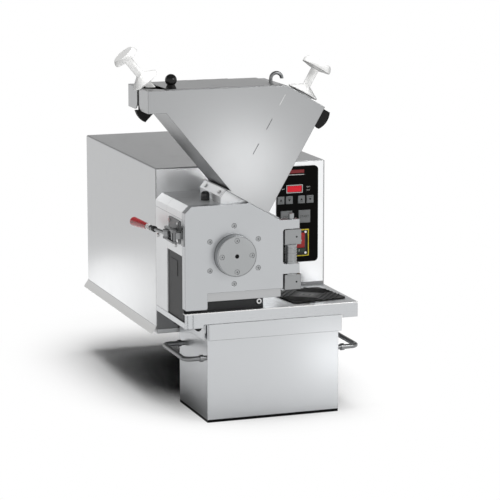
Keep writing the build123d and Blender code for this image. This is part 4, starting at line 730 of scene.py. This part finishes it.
    def make_lamps(self, scene):
        """Large soft lamps above and in front, and small weak ones that put a glow on a few sheets each."""
        for name, place, target, width, power, only in LAMPS:
            lamp = bpy.data.objects.new(f"lamp {name}", bpy.data.lights.new(f"lamp {name}", "AREA"))
            lamp.data.shape = "DISK"
            lamp.data.size = width
            lamp.data.energy = power
            lamp.location = place
            lamp.rotation_euler = (Vector(place) - Vector(target)).to_track_quat("Z", "Y").to_euler()
            lamp.visible_camera = False
            lamp.visible_glossy = name != "overhead"  # tops seen from above would mirror it as plain white
            if only:
                lit = bpy.data.collections.new(f"lit by {name}")
                for node in only.split():
                    lit.objects.link(NODES[node])
                lamp.light_linking.receiver_collection = lit
                lamp.light_linking.blocker_collection = lit
            scene.collection.objects.link(lamp)


class MILL_OT_housing(bpy.types.Operator):
    """Dress the folded housing, its end panels and the cable gland"""

    bl_idname = "mill.housing"
    bl_label = "Housing"

    def execute(self, context):
        s, c = sizes(), colours()
        lip_highlight_band, painted_shade_band = 12 * MM, 86 * MM
        low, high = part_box("housing_cover")
        # Painted highlight: white bands along the cover's lower lips, where they catch the light.
        painted_lip_highlight = tuple(("X", side, lip_highlight_band, c.white) for side in (low.x, high.x))
        cover = brushed_stainless("housing brushed stainless", c.sheet, "Y", marks=painted_lip_highlight)
        dress(["housing_cover"], cover, s.sheet_edge)
        base = brushed_stainless("base brushed stainless", c.head, "Y", 0.46, 0.52)
        dress(["base_plate"], base, s.sheet_edge)
        # Painted shade: a dark band along the bottom of both end panels, where the table shades the front.
        painted_shade = (("Z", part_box("housing_front")[0].z, painted_shade_band, shade(c.head, 0.25)),)
        # Painted light: the end panels are the same stainless sheet as the cover but take the head's lighter
        # tone, so the front shows brighter than the cover's top and sides.
        face = brushed_stainless("housing end brushed stainless", c.head, "Z", marks=painted_shade)
        dress(["housing_front", "rear_panel"], face, s.sheet_edge)
        dress(["mains_gland"], moulded("gland moulded nylon", c.knob, 0.4, 0.55), s.moulded_edge)
        return {"FINISHED"}


class MILL_OT_panel(bpy.types.Operator):
    """Dress the membrane panel and print its frame, bar and key symbols"""

    bl_idname = "mill.panel"
    bl_label = "Control panel"

    def execute(self, context):
        s, c = sizes(), colours()
        print_face = {"grain": 500.0, "specular": 0.05, "texture": 0.04}
        membrane = moulded("panel printed polyester", c.panel, 0.25, 0.35, **print_face)
        dress(["control_panel"], membrane, s.small_edge)
        window = moulded("display red acrylic", c.display, 0.08, 0.14, specular=0.3, texture=0.02)
        surface = window.node_tree.nodes["Principled BSDF"]
        surface.inputs["Emission Color"].default_value = c.display
        surface.inputs["Emission Strength"].default_value = 0.3
        dress(["display_window"], window, 0.0)
        keys = moulded("key printed polyester", c.key, 0.38, 0.5, specular=0.35, texture=0.08)
        dress([f"key_{n}" for n in range(1, 7)], keys, s.small_edge)
        light = moulded("legend light print", c.legend, 0.4, 0.5, texture=0.02)
        dark = moulded("legend dark print", c.panel, 0.4, 0.5, texture=0.02)
        self.display_frame(light)
        self.bars(light)
        self.key_marks(dark)
        return {"FINISHED"}

    def display_frame(self, light):
        """Thin frame round the display, and the units beside it."""
        middle, width, height = front_of("display_window")
        middle.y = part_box("control_panel")[0].y
        outer, inner = [rectangle(width + gap * MM, height + gap * MM) for gap in (5, 1.6)]
        bm = bmesh.new()
        ring(bm, outer, inner, middle, X, Z, PRINT)
        place_piece("display_frame", bm, light, "frame")
        units, letter = (("rpm", 34.0, 4.0), ("min", 34.0, -4.0), ("set", -28.0, 1.0)), 5.5 * MM
        for number, (text, dx, dz) in enumerate(units):
            spot = middle + Vector((dx * MM, -PRINT / 2, dz * MM))
            words(f"unit_print_{number}", text, spot, letter, light, "frame")

    def bars(self, light):
        """Red bar at the top of the panel and the light line under it."""
        low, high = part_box("control_panel")
        centre = (low.x + high.x) / 2 - 13 * MM
        red = moulded("accent red print", colours().accent, 0.35, 0.45, texture=0.02)
        for name, z, width, height, material in (
            ("accent_bar", high.z - 12 * MM, 58.0, 8.0, red),
            ("accent_line", high.z - 19.5 * MM, 58.0, 1.6, light),
        ):
            bm = bmesh.new()
            prism(bm, rectangle(width * MM, height * MM), Vector((centre, low.y, z)), X, Z, PRINT)
            place_piece(name, bm, material, "frame")

    def key_marks(self, dark):
        """Arrows on the small keys, and the usual stop and start words on the large ones."""
        for number in range(1, 5):
            middle = front_of(f"key_{number}")[0]
            up = 1 if number % 2 else -1
            arrow = [(-3.6 * MM, -2.2 * MM * up), (3.6 * MM, -2.2 * MM * up), (0, 3.4 * MM * up)]
            bm = bmesh.new()
            prism(bm, arrow, middle, X, Z, PRINT)
            prism(bm, rectangle(8.5 * MM, 0.9 * MM), middle + Z * -5.2 * MM * up, X, Z, PRINT)
            place_piece(f"key_mark_{number}", bm, dark, f"key_{number}")
        letter = 7.5 * MM
        for number, text in ((5, "STOP"), (6, "START")):
            key = f"key_{number}"
            spot = front_of(key)[0] - Vector((0, PRINT / 2, 0))
            words(f"key_word_{number}", text, spot, letter, dark, key)


class MILL_OT_switch(bpy.types.Operator):
    """Dress the main switch, its yellow line and the marks on its push plates"""

    bl_idname = "mill.switch"
    bl_label = "Main switch"

    def execute(self, context):
        s, c = sizes(), colours()
        dress(["switch_frame"], moulded("switch moulded black", c.knob, 0.35, 0.5), s.small_edge)
        dress(["stop_button"], moulded("stop moulded red", c.stop, 0.25, 0.35), s.moulded_edge)
        dress(["start_button"], moulded("start moulded green", c.start, 0.25, 0.35), s.moulded_edge)
        middle, width, height = front_of("switch_frame")
        yellow = moulded("switch yellow print", c.warning, 0.4, 0.5, texture=0.03)
        outer, inner = [rectangle(width - inset * MM, height - inset * MM) for inset in (1.4, 5.8)]
        bm = bmesh.new()
        ring(bm, outer, inner, middle, X, Z, 0.2 * MM)
        place_piece("switch_yellow_line", bm, yellow, "frame")
        white = moulded("switch white print", c.legend, 0.4, 0.5, texture=0.02)
        bm = bmesh.new()
        ring(bm, circle(5.2 * MM), circle(4.2 * MM), front_of("stop_button")[0], X, Z, PRINT)
        place_piece("stop_mark", bm, white, "stop_button")
        bm = bmesh.new()
        prism(bm, rectangle(1.1 * MM, 5.5 * MM), front_of("start_button")[0], X, Z, PRINT)
        place_piece("start_mark", bm, white, "start_button")
        return {"FINISHED"}


class MILL_OT_head(bpy.types.Operator):
    """Dress the machined head, the dark outlet housing and the strip under it"""

    bl_idname = "mill.head"
    bl_label = "Head"

    def execute(self, context):
        s, c = sizes(), colours()
        joint = (("Z", HEAD_JOINT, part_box("head_carrier")[0].x + MM),)
        blasted = blasted_stainless("head blasted aluminium", c.head, joint, 0.46, 0.54)
        dress(["head_carrier", "chamber_body"], blasted, s.machined_edge)
        dress(["outlet_housing"], hard_coated("outlet hard coat", c.dark_coat), s.machined_edge)
        dress(["cassette_bar"], brushed_stainless("bar brushed stainless", c.sheet, "X"), s.machined_edge)
        dress(["index_knob"], moulded("index knob phenolic", c.knob, 0.18, 0.3, coat=0.3), 0.0)
        return {"FINISHED"}


class MILL_OT_door(bpy.types.Operator):
    """Dress the door, the bearing cap, the hinge and the door screws"""

    bl_idname = "mill.door"
    bl_label = "Door and hinge"

    def execute(self, context):
        s, c = sizes(), colours()
        blasted = blasted_stainless("door blasted stainless", c.machined)
        dress(["door_plate"], blasted, s.machined_edge)
        dress(["bearing_cap"], blasted_stainless("cap turned stainless", c.cap), s.small_edge)
        milled = blasted_stainless("hinge milled steel", shade(c.cap, 0.8))
        dress(["hinge_blocks"], milled, s.machined_edge)
        dress(["door_liner"], brushed_stainless("liner brushed stainless", c.sheet, "X"), s.small_edge)
        satin = polished_steel("door screw satin steel", c.cap, 0.34, 0.42)
        dress(["door_screws", "cap_screws"], satin, s.small_edge)
        drawn = polished_steel("hinge pin drawn steel", shade(c.cap, 0.9), 0.26, 0.36)
        dress(["hinge_pin", "hinge_barrel"], drawn, s.small_edge)
        screw_gaps("door_screw_gaps", "door_screws")
        screw_gaps("cap_screw_gaps", "cap_screws")
        self.cap_lines()
        self.set_screws()
        return {"FINISHED"}

    def cap_lines(self):
        """Dark joint where the cap meets the door, and a ring of painted shade along the turned edge round
        its face.
        """
        middle, width = front_of("bearing_cap")[:2]
        radius = width / 2
        joint = middle.copy()
        joint.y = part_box("door_plate")[0].y
        material = blasted_stainless("cap joint and painted edge shade", shade(colours().cap, 0.22))
        bm = bmesh.new()
        for spot, outer, inner in ((joint, 0.7, -0.2), (middle, -1.5, -2.1)):
            ring(bm, circle(radius + outer * MM, 64), circle(radius + inner * MM, 64), spot, X, Z, PRINT)
        place_piece("cap_edge_lines", bm, material, "door")

    def set_screws(self):
        """Black grub screw sunk in the front of each hinge block."""
        black = polished_steel("set screw blackened steel", shade(colours().gap, 0.3), 0.4, 0.5)
        block_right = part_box("hinge_blocks")[1].x
        bm = bmesh.new()
        for low, high in loose_parts("hinge_blocks"):
            spot = Vector(((HINGE_X + block_right) / 2, low.y + 0.8 * MM, (low.z + high.z) / 2))
            prism(bm, circle(1.75 * MM, 24), spot, X, Z, 0.6 * MM)
        place_piece("hinge_set_screws", bm, black, "frame")


class MILL_OT_latch(bpy.types.Operator):
    """Dress the toggle latch and add its ferrule and lock nut"""

    bl_idname = "mill.latch"
    bl_label = "Toggle latch"

    def execute(self, context):
        s, c = sizes(), colours()
        plated = polished_steel("latch plated steel", c.fastener, 0.2, 0.3)
        dress(["latch_lever", "latch_keeper"], plated, s.small_edge)
        hook = polished_steel("hook plated steel", shade(c.fastener, 0.7), 0.25, 0.35)
        dress(["latch_hook"], hook, s.small_edge)
        pressed = polished_steel("latch base pressed steel", shade(c.fastener, 0.8), 0.42, 0.5)
        dress(["latch_base"], pressed, s.small_edge)
        dress(["latch_grip"], moulded("grip moulded red", c.grip, 0.16, 0.26, coat=0.5), 0.0)
        self.lever_collars()
        return {"FINISHED"}

    def lever_collars(self):
        """White ferrule in front of the grip and a dark lock nut further down the rod.

        Each profile is given as radius and distance from the lever's pivot, in metres.
        """
        along = Vector((cos(LEVER_TURN), sin(LEVER_TURN), 0))
        white = moulded("ferrule turned nylon", colours().white, 0.3, 0.4, texture=0.02)
        ferrule = [(0.0046, 0.083), (0.0062, 0.0835), (0.0069, 0.0995), (0.0046, 0.1)]
        bm = bmesh.new()
        turned(bm, ferrule, LEVER_PIVOT, along)
        place_piece("grip_ferrule", bm, white, "latch_lever")
        dark = polished_steel("nut blackened steel", shade(colours().fastener, 0.15), 0.35, 0.5)
        nut = [(0.0046, 0.060), (0.0068, 0.061), (0.0068, 0.070), (0.0046, 0.071)]
        bm = bmesh.new()
        turned(bm, nut, LEVER_PIVOT, along, 12)
        place_piece("lever_lock_nut", bm, dark, "latch_lever")


class MILL_OT_hopper(bpy.types.Operator):
    """Dress the hopper, lid, knob, hook and bumpers, and add the partition welds"""

    bl_idname = "mill.hopper"
    bl_label = "Hopper"

    def execute(self, context):
        s, c = sizes(), colours()
        sheet = brushed_stainless("hopper brushed stainless", c.hopper, "X")
        dress(["hopper_shell", "hopper_partition"], sheet, s.sheet_edge)
        bracket = brushed_stainless("bracket brushed stainless", c.head, "X", 0.4, 0.46)
        dress(["hopper_bracket"], bracket, s.sheet_edge)
        dress(["hopper_lid"], brushed_stainless("lid brushed stainless", c.hopper, "X"), s.sheet_edge)
        knob = moulded("knob phenolic", shade(c.knob, 0.4), 0.24, 0.32, specular=0.3, coat=0.1)
        dress(["lid_knob"], knob, 0.0)
        dress(["side_bumpers"], rubber("bumper nitrile rubber", shade(c.rubber, 0.3)), s.moulded_edge)
        hook = polished_steel("hook polished steel", shade(c.fastener, 0.9), 0.3, 0.4)
        dress(["hopper_hook", "lid_hinge_pin"], hook, 0.0)
        self.partition_welds()
        return {"FINISHED"}

    def partition_welds(self):
        """Three short weld slots on the front sheet, in line with the partition behind it."""
        low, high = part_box("hopper_partition")
        top, foot = Vector((high.x, 0, high.z)), Vector((low.x, 0, low.z))
        line = (foot - top).normalized()
        side = Vector((line.z, 0, -line.x))
        outline = rectangle(sizes().slot_length, 1.6 * MM, 0.7 * MM)
        weld = polished_steel("weld bead", colours().bright, 0.25, 0.4)
        slot = blasted_stainless("weld slot", shade(colours().machined, 0.55))
        for number, (share, material) in enumerate(((0.13, weld), (0.47, slot), (0.82, slot))):
            middle = top + (foot - top) * share
            middle.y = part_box("hopper_shell")[0].y
            bm = bmesh.new()
            prism(bm, outline, middle, -line, side, 0.3 * MM)
            place_piece(f"partition_weld_{number}", bm, material, "frame", 0.1 * MM)


class MILL_OT_plungers(bpy.types.Operator):
    """Dress the two white plungers with a painted glow, and painted shade greyer towards their outline so
    that they show on white
    """

    bl_idname = "mill.plungers"
    bl_label = "Plungers"

    def execute(self, context):
        tone = colours().white
        white = moulded("plunger turned white plastic", tone, 0.32, 0.42, grain=500.0, texture=0.05)
        tree = white.node_tree
        surface = tree.nodes["Principled BSDF"]
        # Painted shade: colour and glow turn grey where the surface turns away from the view.
        painted_rim_shade = spread(tree, add(tree, "ShaderNodeLayerWeight", {"Blend": 0.5}).outputs["Facing"], (0.35, 0.9))
        for socket, darkest in (("Emission Color", 0.05), ("Base Color", 0.42)):
            tree.links.new(blend(tree, painted_rim_shade, tone, shade(tone, darkest)), surface.inputs[socket])
        # Painted glow: the plastic gives off light of its own, though it is no lamp.
        surface.inputs["Emission Strength"].default_value = 0.4
        dress(["left_plunger", "right_plunger"], white, sizes().moulded_edge)
        return {"FINISHED"}


class MILL_OT_table(bpy.types.Operator):
    """Dress the table, its black fittings and the ribbed mat"""

    bl_idname = "mill.table"
    bl_label = "Table and mat"

    def execute(self, context):
        s, c = sizes(), colours()
        # Painted highlight: a white line just under the table's top edge, along the fold.
        below_top, half_highlight = 1.2 * MM, 1.1 * MM
        painted_fold_highlight = (("Z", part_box("table_plate")[1].z - below_top, half_highlight, c.white),)
        table = brushed_stainless("table brushed stainless", c.vessel, "X", 0.25, 0.31, painted_fold_highlight)
        dress(["table_plate"], table, s.sheet_edge)
        dress(["table_fittings"], rubber("stop nitrile rubber", c.rubber), s.moulded_edge)
        low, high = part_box("bench_mat")
        mat = ribbed_rubber("mat nitrile rubber", c.rubber, c.mat_field, (low + high) / 2, MAT_TURN)
        dress(["bench_mat"], mat, s.small_edge)
        return {"FINISHED"}


class MILL_OT_vessel(bpy.types.Operator):
    """Dress the collecting vessel, its handles and its rails"""

    bl_idname = "mill.vessel"
    bl_label = "Vessel"

    def execute(self, context):
        s, c = sizes(), colours()
        # Painted shade: a dark band along the bottom of the vessel, where it meets the floor.
        foot_shade_band = 6.5 * MM
        foot = (("Z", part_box("vessel_body")[0].z, foot_shade_band, c.gap),)
        sheet = brushed_stainless("vessel brushed stainless", c.vessel, "X", marks=foot)
        dress(["vessel_body"], sheet, s.sheet_edge)
        handle = polished_steel("handle satin steel", shade(c.fastener, 0.9), 0.26, 0.36)
        dress(["vessel_handles"], handle, 0.0)
        dress(["vessel_rails"], brushed_stainless("rail brushed stainless", c.vessel, "Y"), s.sheet_edge)
        return {"FINISHED"}


class MILL_OT_drive(bpy.types.Operator):
    """Dress the rotor, knives, sieve, bearings and motor"""

    bl_idname = "mill.drive"
    bl_label = "Rotor and drive"

    def execute(self, context):
        s, c = sizes(), colours()
        tool = ground_tool_steel("knife ground tool steel", c.tool)
        ground = ["rotor_shaft", "rotor_body", "rotor_knives", "fixed_knives", "bearing_cartridge"]
        dress(ground, tool, s.small_edge)
        dress(["rotor_nut"], polished_steel("nut polished steel", c.bright), s.small_edge)
        dress(["sieve_cassette"], brushed_stainless("sieve brushed stainless", c.sheet, "Y"), 0.0)
        dress(["motor"], hard_coated("motor painted aluminium", shade(c.dark_coat, 0.6)), s.machined_edge)
        return {"FINISHED"}


class MILL_OT_fasteners(bpy.types.Operator):
    """Dress the housing's pan-head screws and the head's screws"""

    bl_idname = "mill.fasteners"
    bl_label = "Fasteners"

    def execute(self, context):
        s, c = sizes(), colours()
        dress(["pan_screws"], polished_steel("pan screw polished steel", c.bright), s.small_edge)
        dress(["head_screws"], polished_steel("screw satin steel", c.bright, 0.45, 0.55), s.small_edge)
        return {"FINISHED"}


class MILL_PT_looks(bpy.types.Panel):
    """Steps that dress the mill"""

    bl_idname = "MILL_PT_looks"
    bl_label = "Mill looks"
    bl_space_type = "VIEW_3D"
    bl_region_type = "UI"
    bl_category = "Mill"

    def draw(self, context):
        for step in STEPS:
            self.layout.operator(step.bl_idname)


STEPS = (
    MILL_OT_studio,
    MILL_OT_housing,
    MILL_OT_panel,
    MILL_OT_switch,
    MILL_OT_head,
    MILL_OT_door,
    MILL_OT_latch,
    MILL_OT_hopper,
    MILL_OT_plungers,
    MILL_OT_table,
    MILL_OT_vessel,
    MILL_OT_drive,
    MILL_OT_fasteners,
)
CLASSES = (MillColours, MillSizes, *STEPS, MILL_PT_looks)


def register():
    for item in CLASSES:
        bpy.utils.register_class(item)
    bpy.types.Scene.mill_colours = PointerProperty(type=MillColours)
    bpy.types.Scene.mill_sizes = PointerProperty(type=MillSizes)


def unregister():
    del bpy.types.Scene.mill_sizes
    del bpy.types.Scene.mill_colours
    for item in reversed(CLASSES):
        bpy.utils.unregister_class(item)


def main():
    register()
    for step in STEPS:
        family, name = step.bl_idname.split(".")
        getattr(getattr(bpy.ops, family), name)()


if __name__ == "__main__":
    main()
